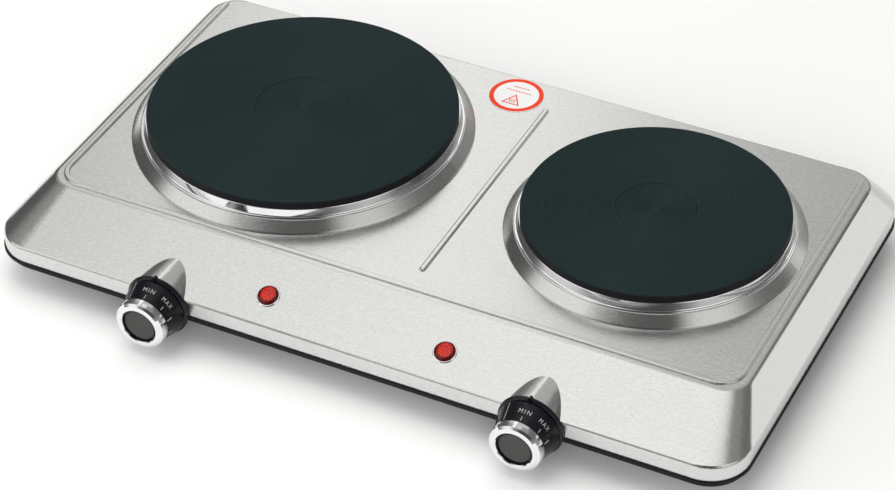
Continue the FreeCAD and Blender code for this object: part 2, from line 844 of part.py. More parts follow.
def make_burner_inside(size, x, radius, bar_length, turns):
    """Coil, filling, cover plate, stud, clamp bar, heat shield and terminal block."""
    name = size.title()
    channel_top = S.plate_z - S.plate_web
    outer = radius - S.plate_neck - S.rim_wall
    inner = S.boss_radius + 6
    reach = S.coil_inner + S.coil_pitch * (turns - 1)
    quarter = FreeCAD.Rotation(V(1, 0, 0), -90)

    def coil(tag):
        parts = []
        for step in range(turns):
            ring = doc.addObject("Part::Torus", f"Turn{name}{tag}{step}")
            bind(ring, "Radius1", S.coil_inner + S.coil_pitch * step)
            bind(ring, "Radius2", S.coil_tube)
            place(ring, 0, 0, S.coil_z)
            parts.append(ring)
        parts.append(cylinder(f"Bridge{name}{tag}", S.coil_tube * 0.8, reach - S.coil_inner,
                              0, -reach, S.coil_z, quarter))
        for place_y in (S.coil_inner, reach):
            parts.append(cylinder(f"Tail{name}{tag}", S.tail_radius, S.coil_z - S.tail_low,
                                  0, place_y, S.tail_low))
        return fuse(f"Coil{name}{tag}", parts)

    finish(coil("Real"), f"coil_{size}", x, S.burner_y)

    fill_ring = cut(f"FillRing{name}",
                    cylinder(f"FillOuter{name}", outer, S.fill_depth, 0, 0,
                             channel_top - S.fill_depth),
                    cylinder(f"FillInner{name}", inner, TOOL_LENGTH, 0, 0, TOOL_LOW))
    finish(cut(f"Fill{name}", fill_ring, coil("Tool")), f"insulation_{size}", x, S.burner_y)

    cover_holes_tool = [cylinder(f"CoverMiddle{name}", S.stud_radius + 0.4, TOOL_LENGTH,
                                 0, 0, TOOL_LOW)]
    for place_y in (S.coil_inner, reach):
        cover_holes_tool.append(
            cylinder(f"CoverTail{name}", S.tail_radius + 0.8, TOOL_LENGTH,
                     0, place_y, TOOL_LOW))
    cover = cut(f"CoverPlate{name}",
                cylinder(f"CoverDisc{name}", radius - S.plate_neck - 1, S.cover_gauge, 0, 0,
                         S.plate_low - S.cover_gauge),
                fuse(f"CoverHoles{name}", cover_holes_tool))
    finish(cover, f"plate_cover_{size}", x, S.burner_y)

    finish(cylinder(f"Stud{name}", S.stud_radius, S.stud_high - S.stud_low, 0, 0, S.stud_low),
           f"stud_{size}", x, S.burner_y, S.stud_low)

    under_deck = S.deck_z - S.sheet
    half = bar_length / 2
    bar = cut(f"Bar{name}",
              box(f"BarBlank{name}", -half, half, -S.bar_width / 2, S.bar_width / 2,
                  under_deck - S.bar_gauge, under_deck),
              cylinder(f"BarHole{name}", S.stud_radius + 0.3, TOOL_LENGTH, 0, 0, TOOL_LOW))
    finish(bar, f"clamp_bar_{size}", x, S.burner_y)

    make_heat_shield(size, x, radius)
    block = cut(f"Block{name}",
                box(f"BlockBlank{name}", -S.block_width / 2, S.block_width / 2,
                    S.coil_inner - 5, reach + 5, S.plate_low - S.cover_gauge - S.block_height,
                    S.plate_low - S.cover_gauge),
                fuse(f"BlockHoles{name}",
                     [cylinder(f"BlockHole{name}", S.tail_radius, TOOL_LENGTH, 0, place_y,
                               S.tail_low)
                      for place_y in (S.coil_inner, reach)]))
    finish(block, f"plate_terminal_{size}", x, S.burner_y)


def make_heat_shield(size, x, radius):
    """Shallow dish under the burner with its rim turned down."""
    body = new_body(f"HeatShield{size.title()}")
    profile = sketch_on(body, f"ShieldProfile{size}", "XZ")
    top = S.deck_z - S.sheet - S.bar_gauge - S.nut_height
    outer = radius - S.shield_margin
    gauge = S.shield_gauge
    polygon(profile, [
        (S.stud_radius + 0.3, top - gauge), (outer - gauge, top - gauge),
        (outer - gauge, top - S.shield_rim), (outer, top - S.shield_rim), (outer, top),
        (S.stud_radius + 0.3, top),
    ])
    turn_about_axis(body, profile, f"Shield{size}")
    finish(body, f"heat_shield_{size}", x, S.burner_y)


def make_clamp_nuts():
    """Two nuts on each stud: one under the clamp bar, one under the heat shield."""
    solids = []
    upper = S.deck_z - S.sheet - S.bar_gauge - S.nut_height
    lower = upper - S.shield_gauge - S.nut_height
    for size, (x, *_) in BURNERS.items():
        for height in (upper, lower):
            nut = hexagon(f"Nut{size}", S.nut_across, S.nut_height, x, S.burner_y, height)
            bore = cylinder(f"NutBore{size}", S.stud_radius, S.nut_height + 2,
                            x, S.burner_y, height - 1)
            solids.append(cut(f"NutCut{size}", nut, bore))
    finish(group("ClampNuts", solids), "clamp_nuts")


# ---------------------------------------------------------------- knobs

def make_bezel(side, x):
    """Fixed black collar behind the knob, with its pointer at the top."""
    body = new_body(f"Bezel{side.title()}")
    profile = sketch_on(body, f"BezelProfile{side}", "XZ")
    polygon(profile, [
        (S.bezel_bore, 0), (S.bezel_radius - 0.4, 0), (S.bezel_radius, 0.5),
        (S.bezel_radius, 1.4), (S.bezel_radius - 0.8, S.bezel_gauge - 0.3),
        (S.bezel_radius - 1.6, S.bezel_gauge), (S.bezel_bore, S.bezel_gauge),
    ])
    turn_about_axis(body, profile, f"BezelDisc{side}")
    pointer = sketch_on(body, f"Pointer{side}", "XY")
    tip = S.bezel_radius + 1.1
    polygon(pointer, [(-1.5, S.bezel_radius - 1), (1.5, S.bezel_radius - 1), (0.6, tip),
                      (-0.6, tip)])
    pad(body, pointer, f"PointerPad{side}", S.bezel_gauge)
    finish(body, f"bezel_{side}", x, -S.half_depth, S.knob_z, FACING_FRONT)


def make_knob(side, x):
    """Tapered hollow knob with a boss for the shaft."""
    body = new_body(f"Knob{side.title()}")
    profile = sketch_on(body, f"KnobProfile{side}", "XZ")
    back = S.bezel_gauge + S.knob_gap
    wall = S.knob_wall
    polygon(profile, [
        (S.shaft_radius, back + 0.6), (S.knob_boss, back + 0.6),
        (S.knob_boss, S.knob_end - wall), (S.knob_front_radius - wall, S.knob_end - wall),
        (S.knob_back_radius - wall, back), (S.knob_back_radius - 0.5, back),
        (S.knob_back_radius, back + 0.5), (S.knob_back_radius - 0.2, back + 2.2),
        (S.knob_front_radius, S.knob_end), (S.cap_radius, S.knob_end),
        (S.cap_radius, S.shaft_reach + 1), (0, S.shaft_reach + 1), (0, S.shaft_reach),
        (S.shaft_radius, S.shaft_reach),
    ])
    turn_about_axis(body, profile, f"KnobShell{side}")
    finish(body, f"knob_{side}", x, -S.half_depth, S.knob_z, FACING_FRONT)


def make_knob_trim(side, x):
    """Bright ring round the front of the knob."""
    body = new_body(f"KnobRing{side.title()}")
    profile = sketch_on(body, f"TrimProfile{side}", "XZ")
    polygon(profile, [
        (S.cap_radius, S.knob_end), (S.trim_radius - 0.5, S.knob_end),
        (S.trim_radius, S.knob_end + 0.5), (S.trim_radius, S.knob_end + 2.6),
        (S.trim_radius - 0.5, S.trim_end - 1.4), (S.trim_nose, S.trim_end - 0.3),
        (S.trim_nose - 0.8, S.trim_end), (S.trim_opening + 0.4, S.trim_end),
        (S.trim_opening, S.trim_end - 0.5), (S.cap_radius, S.cap_face - 0.5),
    ])
    turn_about_axis(body, profile, f"Trim{side}")
    finish(body, f"knob_ring_{side}", x, -S.half_depth, S.knob_z, FACING_FRONT)


def make_knob_cap(side, x):
    """Matt insert closing the front of the knob."""
    body = new_body(f"KnobCap{side.title()}")
    profile = sketch_on(body, f"CapProfile{side}", "XZ")
    polygon(profile, [
        (0, S.shaft_reach + 1), (S.cap_radius, S.shaft_reach + 1),
        (S.cap_radius, S.cap_face - S.cap_bevel_drop), (S.cap_radius - S.cap_bevel, S.cap_face),
        (0, S.cap_face),
    ])
    turn_about_axis(body, profile, f"Cap{side}")
    finish(body, f"knob_cap_{side}", x, -S.half_depth, S.knob_z, FACING_FRONT)


def make_shaft(side, x):
    shaft = cylinder(f"Shaft{side}", S.shaft_radius, S.shaft_reach + S.shaft_tail)
    finish(shaft, f"shaft_{side}", x, -S.half_depth + S.shaft_tail, S.knob_z, FACING_FRONT)


# ---------------------------------------------------------------- thermostats

def make_thermostat(side, x):
    """Ceramic body with its bush; the shaft turns in the bore."""
    half = S.thermostat_half
    case = box(f"Case{side}", -half, half, -S.thermostat_front, -S.thermostat_back,
               S.thermostat_low, S.thermostat_high)
    bush = cylinder(f"Bush{side}", S.bush_radius, S.half_depth - S.thermostat_front + 2,
                    0, -S.thermostat_front, S.knob_z, FACING_FRONT)
    tabs = [box(f"Tab{side}{step}", S.tab_offset * step - S.tab_half,
                S.tab_offset * step + S.tab_half, -S.thermostat_back,
                -S.thermostat_back + S.tab_gauge, S.tab_low, S.tab_low + S.tab_height)
            for step in (-1, 1)]
    bore = cylinder(f"Bore{side}", S.shaft_radius + S.shaft_fit, 30,
                    0, -S.half_depth + S.shaft_tail + 0.5, S.knob_z, FACING_FRONT)
    solid = cut(f"Thermostat{side}", fuse(f"ThermostatBlank{side}", [case, bush] + tabs), bore)
    finish(solid, f"thermostat_{side}", x)


def make_bracket(side, x):
    """Steel angle that carries a thermostat from the floor of the pan."""
    front = -S.thermostat_front - S.bracket_gauge
    floor = S.foot_height + S.pan_gauge
    half = S.bracket_half
    plate = box(f"BracketPlate{side}", -half, half, front, -S.thermostat_front,
                floor, S.bracket_high)
    feet = [
        box(f"BracketFootA{side}", -half - S.bracket_foot, -half,
            front, front + S.bracket_foot, floor, floor + S.bracket_gauge),
        box(f"BracketFootB{side}", half, half + S.bracket_foot,
            front, front + S.bracket_foot, floor, floor + S.bracket_gauge),
    ]
    hole = cylinder(f"BracketHole{side}", S.bush_radius + 0.1, 10,
                    0, -S.thermostat_front + 2, S.knob_z, FACING_FRONT)
    solid = cut(f"Bracket{side}", fuse(f"BracketBlank{side}", [plate] + feet), hole)
    finish(solid, f"bracket_{side}", x)


def make_bracket_rivets():
    """Two rivets in the feet of each bracket, heads above the floor."""
    solids = []
    level = S.foot_height + S.pan_gauge + S.bracket_gauge
    for side, x in SIDES.items():
        for step in (-1, 1):
            offset = (S.bracket_half + S.bracket_foot / 2) * step
            solids.append(cylinder(f"Rivet{side}", S.rivet_radius, S.rivet_height, x + offset,
                                   -S.thermostat_front + S.rivet_set, level))
    finish(group("BracketRivets", solids), "bracket_rivets")


# ---------------------------------------------------------------- pilot lamps

def make_lenses():
    """Domed lens of each lamp, square to the front slope."""
    height = slope_height(S.lamp_y)
    rise = S.lens_rise
    radius = S.lens_radius
    for side, x in LAMPS.items():
        lens = new_body(f"Lens{side.title()}")
        profile = sketch_on(lens, f"LensProfile{side}", "XZ")
        polygon(profile, [
            (0, 0.05), (radius, 0.05), (radius, S.lens_skirt), (radius * 0.92, rise * 0.62),
            (radius * 0.74, rise * 0.83), (radius * 0.5, rise * 0.94),
            (radius * 0.25, rise * 0.99), (0, rise),
        ])
        turn_about_axis(lens, profile, f"LensBody{side}")
        finish(lens, f"lamp_lens_{side}", x, -S.lamp_y, height, LAMP_TURN)


def make_lamp_set(label, outline):
    """The same turned piece at both lamps, as one group."""
    solids = []
    for side, x in LAMPS.items():
        body = new_body(f"{label}{side}")
        profile = sketch_on(body, f"{label}Profile{side}", "XZ")
        polygon(profile, outline)
        turn_about_axis(body, profile, f"{label}Turn{side}")
        place(body, x, -S.lamp_y, slope_height(S.lamp_y), LAMP_TURN)
        solids.append(body)
    finish(group(f"{label}Group", solids), label)


def make_lamp_rims():
    outer = S.lens_radius + S.lamp_rim_out
    make_lamp_set("lamp_rims", [
        (S.lens_radius, 0.02), (outer, 0.02), (outer, 0.3), (outer - 0.3, S.lamp_rim_rise),
        (S.lens_radius, S.lamp_rim_rise),
    ])


def make_lamp_stems():
    """Lamp bodies pushed through the cover, each with the wings that hold it."""
    wing = S.lamp_stem + 2.2
    under = -S.sheet - 0.15
    make_lamp_set("lamp_stems", [
        (0, -S.lamp_length), (S.lamp_stem - 1.2, -S.lamp_length),
        (S.lamp_stem, -S.lamp_length + 1.2), (S.lamp_stem, under - 1.2), (wing, under - 1.2),
        (wing, under), (S.lamp_stem, under), (S.lamp_stem, 0.05), (0, 0.05),
    ])


# ---------------------------------------------------------------- feet, posts and screws

def make_feet():
    spots = {
        "front_left": (-S.foot_x, -S.foot_front), "front_right": (S.foot_x, -S.foot_front),
        "rear_left": (-S.foot_x, S.foot_back), "rear_right": (S.foot_x, S.foot_back),
    }
    for label, (x, y) in spots.items():
        body = new_body(f"Foot{label.title().replace('_', '')}")
        profile = sketch_on(body, f"FootProfile{label}", "XZ")
        polygon(profile, [
            (S.foot_dish, 0), (S.foot_top_radius - 0.8, 0), (S.foot_top_radius, 0.8),
            (S.foot_radius, S.foot_height), (S.screw_radius, S.foot_height),
            (S.screw_radius, S.foot_dish_depth), (S.foot_dish, S.foot_dish_depth),
        ])
        turn_about_axis(body, profile, f"FootTurn{label}")
        finish(body, f"foot_{label}", x, y)


def screw(name, x, y, head_low, shank):
    """A round-headed screw pointing up."""
    head = cylinder(f"{name}Head", S.screw_head, S.screw_head_height, x, y, head_low)
    stem = cylinder(f"{name}Shank", S.screw_radius, shank, x, y, head_low + S.screw_head_height)
    slot = box(f"{name}Slot", as_size(x) - 0.4, as_size(x) + 0.4, as_size(y) - 4,
               as_size(y) + 4, head_low, as_size(head_low) + 0.7)
    return cut(name, fuse(f"{name}Blank", [head, stem]), slot)


def make_screws():
    foot_screws = []
    base_screws = []
    under_floor = S.foot_height - S.screw_head_height
    for side in (-1, 1):
        for y in (-S.foot_front, S.foot_back):
            foot_screws.append(screw("FootScrew", S.foot_x * side, y,
                                     S.foot_dish_depth - S.screw_head_height, 14))
        for y in (-S.post_front, S.post_back):
            base_screws.append(screw("BaseScrew", S.post_x * side, y, under_floor, 9))
    finish(group("FootScrews", foot_screws), "foot_screws")
    finish(group("BaseScrews", base_screws), "base_screws")


def make_posts():
    """Threaded posts under the deck that the base screws pull against."""
    floor = S.foot_height + S.pan_gauge
    top = S.deck_z - S.sheet
    solids = []
    for y in (-S.post_front, S.post_back):
        for side in (-1, 1):
            post = cylinder("Post", S.post_radius, top - floor, S.post_x * side, y, floor)
            bore = cylinder("PostBore", S.screw_radius, 12, S.post_x * side, y, floor - 1)
            solids.append(cut("PostCut", post, bore))
    finish(group("Posts", solids), "posts")


# ---------------------------------------------------------------- mains entry and mark

def make_mains_entry():
    floor = S.foot_height + S.pan_gauge
    block = box("MainsBlank", S.mains_left, S.mains_right, S.mains_front, S.mains_back,
                floor, S.mains_high)
    wells = [cylinder("MainsWell", S.well_radius, S.well_depth + 1,
                      S.mains_left + S.well_inset + S.well_pitch * step,
                      (S.mains_front + S.mains_back) / 2, S.mains_high - S.well_depth)
             for step in range(3)]
    finish(cut("MainsTerminal", block, fuse("MainsWells", wells)), "mains_terminal")

    gland = new_body("CordGland")
    profile = sketch_on(gland, "GlandProfile", "XZ")
    polygon(profile, [
        (S.gland_bore, -S.gland_depth), (S.gland_radius, -S.gland_depth), (S.gland_radius, 0),
        (S.gland_flange, 0),
        (S.gland_flange, S.gland_flange_gauge - 0.5),
        (S.gland_flange - 0.5, S.gland_flange_gauge), (S.gland_bore, S.gland_flange_gauge),
    ])
    turn_about_axis(gland, profile, "Gland")
    facing_back = FreeCAD.Rotation(V(1, 0, 0), -90)
    finish(gland, "cord_gland", S.gland_x, S.half_depth, S.gland_z, facing_back)

    washer = cylinder("EarthWasher", S.earth_washer, S.earth_gauge, S.earth_x, S.earth_y, floor)
    shank = cylinder("EarthShank", S.earth_shank, S.earth_length, S.earth_x, S.earth_y, floor)
    nut = hexagon("EarthNut", S.earth_nut, S.earth_nut_height, S.earth_x, S.earth_y,
                  floor + S.earth_tag_top)
    tag = box("EarthTag", S.earth_x - S.earth_tag_reach, S.earth_x + S.earth_tag_half,
              S.earth_y - S.earth_tag_half, S.earth_y + S.earth_tag_half,
              floor + S.earth_gauge, floor + S.earth_tag_top)
    finish(fuse("EarthStud", [washer, shank, nut, tag]), "earth_stud")


def make_mark():
    disc = cylinder("MarkDisc", S.mark_radius, S.mark_gauge, 0, 0, 0)
    finish(disc, "heat_mark", S.mark_x, S.mark_y, S.deck_z)


# ---------------------------------------------------------------- leads

def lead_solid(points, bend):
    """A round lead: straight runs joined by tangent arcs, made in one piece."""
    corners = [V(*[as_size(value).value for value in point]) for point in points]
    edges = []
    start = corners[0]
    for before, corner, after in zip(corners, corners[1:], corners[2:]):
        into = (corner - before).normalize()
        out = (after - corner).normalize()
        angle = into.getAngle(out)
        trim = bend * math.tan(angle / 2)
        first = corner - into * trim
        last = corner + out * trim
        bisector = (out - into).normalize()
        centre = corner + bisector * (bend / math.cos(angle / 2))
        middle = centre - bisector * bend
        edges.append(Part.makeLine(start, first))
        edges.append(Part.Arc(first, middle, last).toShape())
        start = last
    edges.append(Part.makeLine(start, corners[-1]))
    spine = Part.Wire(edges)
    along = (corners[1] - corners[0]).normalize()
    section = Part.Wire([Part.makeCircle(SIZES["lead_radius"], corners[0], along)])
    solid = spine.makePipeShell([section], True, False)
    expected = math.pi * SIZES["lead_radius"] ** 2 * spine.Length
    if abs(solid.Volume - expected) > 0.02 * expected:
        raise ValueError("a lead does not keep its section along its route")
    return solid


def add_leads(label, routes, bend):
    """One sub-part holding the leads of one connection."""
    solids = [lead_solid(points, bend.value) for points in routes]
    thing = doc.addObject("Part::Feature", label.title().replace("_", ""))
    thing.Shape = solids[0] if len(solids) == 1 else Part.makeCompound(solids)
    finish(thing, label)


def make_leads():
    high, low, lamp = S.high_run, S.low_run, S.lamp_run
    turn_y = -S.thermostat_back + 12
    back = -S.thermostat_back
    mains_y = S.mains_back - 3
    for size, side, outward in (("large", "left", -1), ("small", "right", 1)):
        burner_x, _, _, _, turns = BURNERS[size]
        knob_x = SIDES[side]
        reach = S.coil_inner + S.coil_pitch * (turns - 1)
        block_back = S.burner_y + reach + 5
        block_side = burner_x + (S.block_width / 2) * outward
        run_x = burner_x + S.side_run * outward
        tab_x = knob_x + S.tab_offset
        add_leads(f"lead_plate_{size}", [[
            (block_side, S.burner_y + S.coil_inner, high), (run_x, S.burner_y + S.coil_inner, high),
            (run_x, turn_y, high), (run_x, turn_y, S.tab_run), (tab_x, turn_y, S.tab_run),
            (tab_x, back + S.tab_gauge, S.tab_run),
        ]], S.lead_bend)
        mains_side = S.mains_left if outward < 0 else S.mains_right
        column = mains_side + S.mains_clear * outward
        add_leads(f"lead_neutral_{size}", [[
            (burner_x, block_back, high), (burner_x, S.rear_run, high),
            (burner_x, S.rear_run, S.neutral_run), (column, S.rear_run, S.neutral_run),
            (column, mains_y, S.neutral_run), (mains_side, mains_y, S.neutral_run),
        ]], S.lead_bend)
        line_x = (S.mains_left + S.mains_right) / 2 + S.line_spread * outward
        add_leads(f"lead_line_{side}", [[
            (line_x, S.mains_front, low), (line_x, turn_y + 4, low),
            (knob_x - S.line_offset, turn_y + 4, low), (knob_x - S.line_offset, back, low),
        ]], S.lead_bend)
        make_lamp_leads(side, outward, knob_x, mains_side, lamp)
    floor = S.foot_height + S.pan_gauge
    add_leads("lead_earth", [[(S.mains_right, S.earth_y, floor + 2.1),
                              (S.earth_x - S.earth_tag_reach, S.earth_y, floor + 2.1)]],
              S.lead_bend)


def make_lamp_leads(side, outward, knob_x, mains_side, lamp):
    """Two leads of a pilot lamp: to its thermostat and to the neutral terminal."""
    lamp_x = S.lamp_left_x if outward < 0 else S.lamp_right_x
    sine = math.sin(math.radians(SLOPE_ANGLE))
    cosine = math.cos(math.radians(SLOPE_ANGLE))
    tail_y = -S.lamp_y + S.lamp_length * sine
    tail_z = slope_height(S.lamp_y) - S.lamp_length * cosine
    drop = tail_z.value - lamp.value
    run_y = tail_y + drop * sine / cosine
    to_thermostat = [
        (lamp_x + 2.0 * outward, tail_y, tail_z), (lamp_x + 2.0 * outward, run_y, lamp),
        (lamp_x + S.lamp_clear * outward, run_y, lamp),
        (lamp_x + S.lamp_clear * outward, -S.front_run, lamp),
        (knob_x - S.thermostat_half * outward, -S.front_run, lamp),
    ]
    column = S.mains_left - 30.0 if outward < 0 else S.mains_right + 10.0
    to_neutral = [
        (lamp_x - 2.0 * outward, tail_y, tail_z), (lamp_x - 2.0 * outward, run_y, lamp),
        (column, run_y, lamp), (column, S.mains_front + 4, lamp),
        (mains_side, S.mains_front + 4, lamp),
    ]
    add_leads(f"lead_lamp_{side}", [to_thermostat, to_neutral], S.lamp_lead_bend)


# ---------------------------------------------------------------- build and write

def check(thing):
    """Stop when a sub-part or anything it is made from did not build."""
    state = set(thing.State) & {"Invalid", "Error"}
    if state or thing.Shape.isNull() or not thing.Shape.isValid():
        raise ValueError(f"{thing.Label}: bad shape {state}")


def main():
    make_top_cover()
    make_base_pan()
    for size, (x, radius, recess, bar_length, turns) in BURNERS.items():
        make_plate(size, x, radius, recess)
        make_overfall_ring(size, x, radius)
        make_burner_inside(size, x, radius, bar_length, turns)
    make_clamp_nuts()
    for side, x in SIDES.items():
        make_bezel(side, x)
        make_knob(side, x)
        make_knob_trim(side, x)
        make_knob_cap(side, x)
        make_shaft(side, x)
        make_thermostat(side, x)
        make_bracket(side, x)
    make_bracket_rivets()
    make_lenses()
    make_lamp_rims()
    make_lamp_stems()
    make_feet()
    make_screws()
    make_posts()
    make_mains_entry()
    make_mark()
    make_leads()
    doc.recompute()
    for thing in doc.Objects:
        if set(thing.State) & {"Invalid", "Error"}:
            raise ValueError(f"{thing.Name} did not build")
    for thing in finished:
        check(thing)
        thing.Shape.exportStep(f"parts/{thing.Label}.step")
        bounds = thing.Shape.BoundBox
        print(f"{thing.Label}: {len(thing.Shape.Solids)} solid(s), volume {thing.Shape.Volume:.0f},"
              f" x {bounds.XMin:.1f}..{bounds.XMax:.1f}, y {bounds.YMin:.1f}..{bounds.YMax:.1f},"
              f" z {bounds.ZMin:.1f}..{bounds.ZMax:.1f}")
    print(f"{len(finished)} sub-parts written")


main()
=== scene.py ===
"""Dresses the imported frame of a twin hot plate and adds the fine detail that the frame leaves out."""
import logging
import math
from collections.abc import Iterable, Sequence
from dataclasses import dataclass
from enum import Enum
from typing import Any, ClassVar

import bpy
from mathutils import Matrix, Vector


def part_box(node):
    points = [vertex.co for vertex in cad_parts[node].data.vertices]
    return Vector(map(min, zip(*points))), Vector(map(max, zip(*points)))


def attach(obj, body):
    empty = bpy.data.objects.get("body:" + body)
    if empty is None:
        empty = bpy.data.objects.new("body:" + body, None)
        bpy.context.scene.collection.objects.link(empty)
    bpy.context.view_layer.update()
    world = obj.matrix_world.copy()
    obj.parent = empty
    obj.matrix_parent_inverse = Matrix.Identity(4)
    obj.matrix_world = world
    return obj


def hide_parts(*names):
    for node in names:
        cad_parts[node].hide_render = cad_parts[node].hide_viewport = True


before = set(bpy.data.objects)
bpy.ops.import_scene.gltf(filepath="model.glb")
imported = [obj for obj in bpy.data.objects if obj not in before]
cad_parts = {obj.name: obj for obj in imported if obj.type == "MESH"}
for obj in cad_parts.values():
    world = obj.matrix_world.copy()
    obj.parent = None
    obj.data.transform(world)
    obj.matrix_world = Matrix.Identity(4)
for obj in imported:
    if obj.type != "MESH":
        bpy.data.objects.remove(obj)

LOG = logging.getLogger("hot_plate")
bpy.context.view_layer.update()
MM = 0.001
FULL_TURN = math.tau
Colour = tuple[float, float, float]
Point = tuple[float, float, float]
Loop = list[tuple[float, float]]
Pattern = tuple[float, float, float, float]


class Body(Enum):
    """The bodies that a piece may ride on."""

    HOUSING = "housing"
    KNOB_LEFT = "knob_left"
    KNOB_RIGHT = "knob_right"


class NodeSheet:
    """Node tree of one material, with short calls for the nodes that every finish uses."""

    def __init__(self, name: str, centre: Vector | None = None) -> None:
        """Start a material with one principled shader.

        Args:
            name: Name of the material.
            centre: Point in metres that the pattern is measured from.
        """
        self.material = bpy.data.materials.new(name)
        self.material.use_nodes = True
        self.tree = self.material.node_tree
        self.shader = self.tree.nodes["Principled BSDF"]
        self.centre = centre or Vector((0.0, 0.0, 0.0))

    def node(self, kind: str, **settings: Any) -> bpy.types.Node:
        """Add one node.

        Args:
            kind: Type name without the ShaderNode prefix.
            settings: Properties set on the node.

        Returns:
            The new node.
        """
        made = self.tree.nodes.new("ShaderNode" + kind)
        for key, value in settings.items():
            setattr(made, key, value)
        return made

    def feed(self, socket: bpy.types.NodeSocket, value: Any) -> None:
        """Give a socket a constant, or link it to another node's output.

        Args:
            socket: Input to fill.
            value: Number, tuple or output socket.
        """
        if isinstance(value, bpy.types.NodeSocket):
            self.tree.links.new(value, socket)
        else:
            socket.default_value = value

    def set(self, **inputs: Any) -> None:
        """Fill inputs of the principled shader; an underscore stands for a space in the name."""
        for key, value in inputs.items():
            self.feed(self.shader.inputs[key.replace("_", " ")], value)

    def place(self, stretch: Sequence[float] = (1.0, 1.0, 1.0)) -> bpy.types.NodeSocket:
        """Millimetre coordinates on the piece, measured from the sheet's centre.

        Args:
            stretch: Factor for each axis; under one draws the pattern out along that axis.

        Returns:
            A vector output.
        """
        where = self.node("TexCoord").outputs["Object"]
        mapped = self.node("Mapping")
        scale = [s / MM for s in stretch]
        self.feed(mapped.inputs["Vector"], where)
        self.feed(mapped.inputs["Scale"], scale)
        self.feed(mapped.inputs["Location"], [-c * s for c, s in zip(self.centre, scale)])
        return mapped.outputs["Vector"]

    def noise(self, where: bpy.types.NodeSocket, pitch: float, detail: float = 2.0) -> bpy.types.NodeSocket:
        """Seedless noise from nought to one.

        Args:
            where: Vector to read.
            pitch: Size of one blotch in millimetres.
            detail: Number of finer layers.

        Returns:
            A value output.
        """
        made = self.node("TexNoise")
        self.feed(made.inputs["Vector"], where)
        self.feed(made.inputs["Scale"], 1.0 / pitch)
        self.feed(made.inputs["Detail"], detail)
        return made.outputs["Fac"]

    def span(
        self,
        value: bpy.types.NodeSocket,
        low: float,
        high: float,
        start: float = 0.3,
        end: float = 0.7,
    ) -> bpy.types.NodeSocket:
        """Stretch a value from start..end to low..high.

        Args:
            value: Value to read.
            low: Result at start.
            high: Result at end.
            start: Reading that gives low.
            end: Reading that gives high.

        Returns:
            A value output.
        """
        made = self.node("MapRange", clamp=True)
        for name, number in (("Value", value), ("From Min", start), ("From Max", end),
                             ("To Min", low), ("To Max", high)):
            self.feed(made.inputs[name], number)
        return made.outputs["Result"]

    def maths(self, operation: str, *values: Any) -> bpy.types.NodeSocket:
        """One step of arithmetic.

        Args:
            operation: Name of the operation, as Blender writes it.
            values: Numbers or outputs.

        Returns:
            A value output.
        """
        made = self.node("Math", operation=operation)
        for socket, value in zip(made.inputs, values):
            self.feed(socket, value)
        return made.outputs["Value"]

    def tint(self, factor: Any, low: Any, high: Any) -> bpy.types.NodeSocket:
        """Mix of two colours.

        Args:
            factor: Nought gives low, one gives high.
            low: Colour or output.
            high: Colour or output.

        Returns:
            A colour output.
        """
        made = self.node("Mix", data_type="RGBA")
        self.feed(made.inputs["Factor"], factor)
        for socket, value in ((made.inputs[6], low), (made.inputs[7], high)):
            self.feed(socket, (*value, 1.0) if isinstance(value, tuple) else value)
        return made.outputs[2]

    def relief(self, height: Any, depth: float) -> bpy.types.NodeSocket:
        """Surface relief.

        Args:
            height: Height output from nought to one.
            depth: Depth in millimetres of the full step.

        Returns:
            A normal output.
        """
        made = self.node("Bump")
        self.feed(made.inputs["Strength"], 1.0)
        self.feed(made.inputs["Distance"], depth * MM)
        self.feed(made.inputs["Height"], height)
        return made.outputs["Normal"]

    def radius(self, axis: str = "Z") -> bpy.types.NodeSocket:
        """Distance in millimetres from a line through the centre.

        Args:
            axis: Axis of the line, Y or Z.

        Returns:
            A value output.
        """
        flat = (1.0, 1.0, 0.0) if axis == "Z" else (1.0, 0.0, 1.0)
        made = self.node("VectorMath", operation="LENGTH")
        self.feed(made.inputs[0], self.place(flat))
        return made.outputs["Value"]


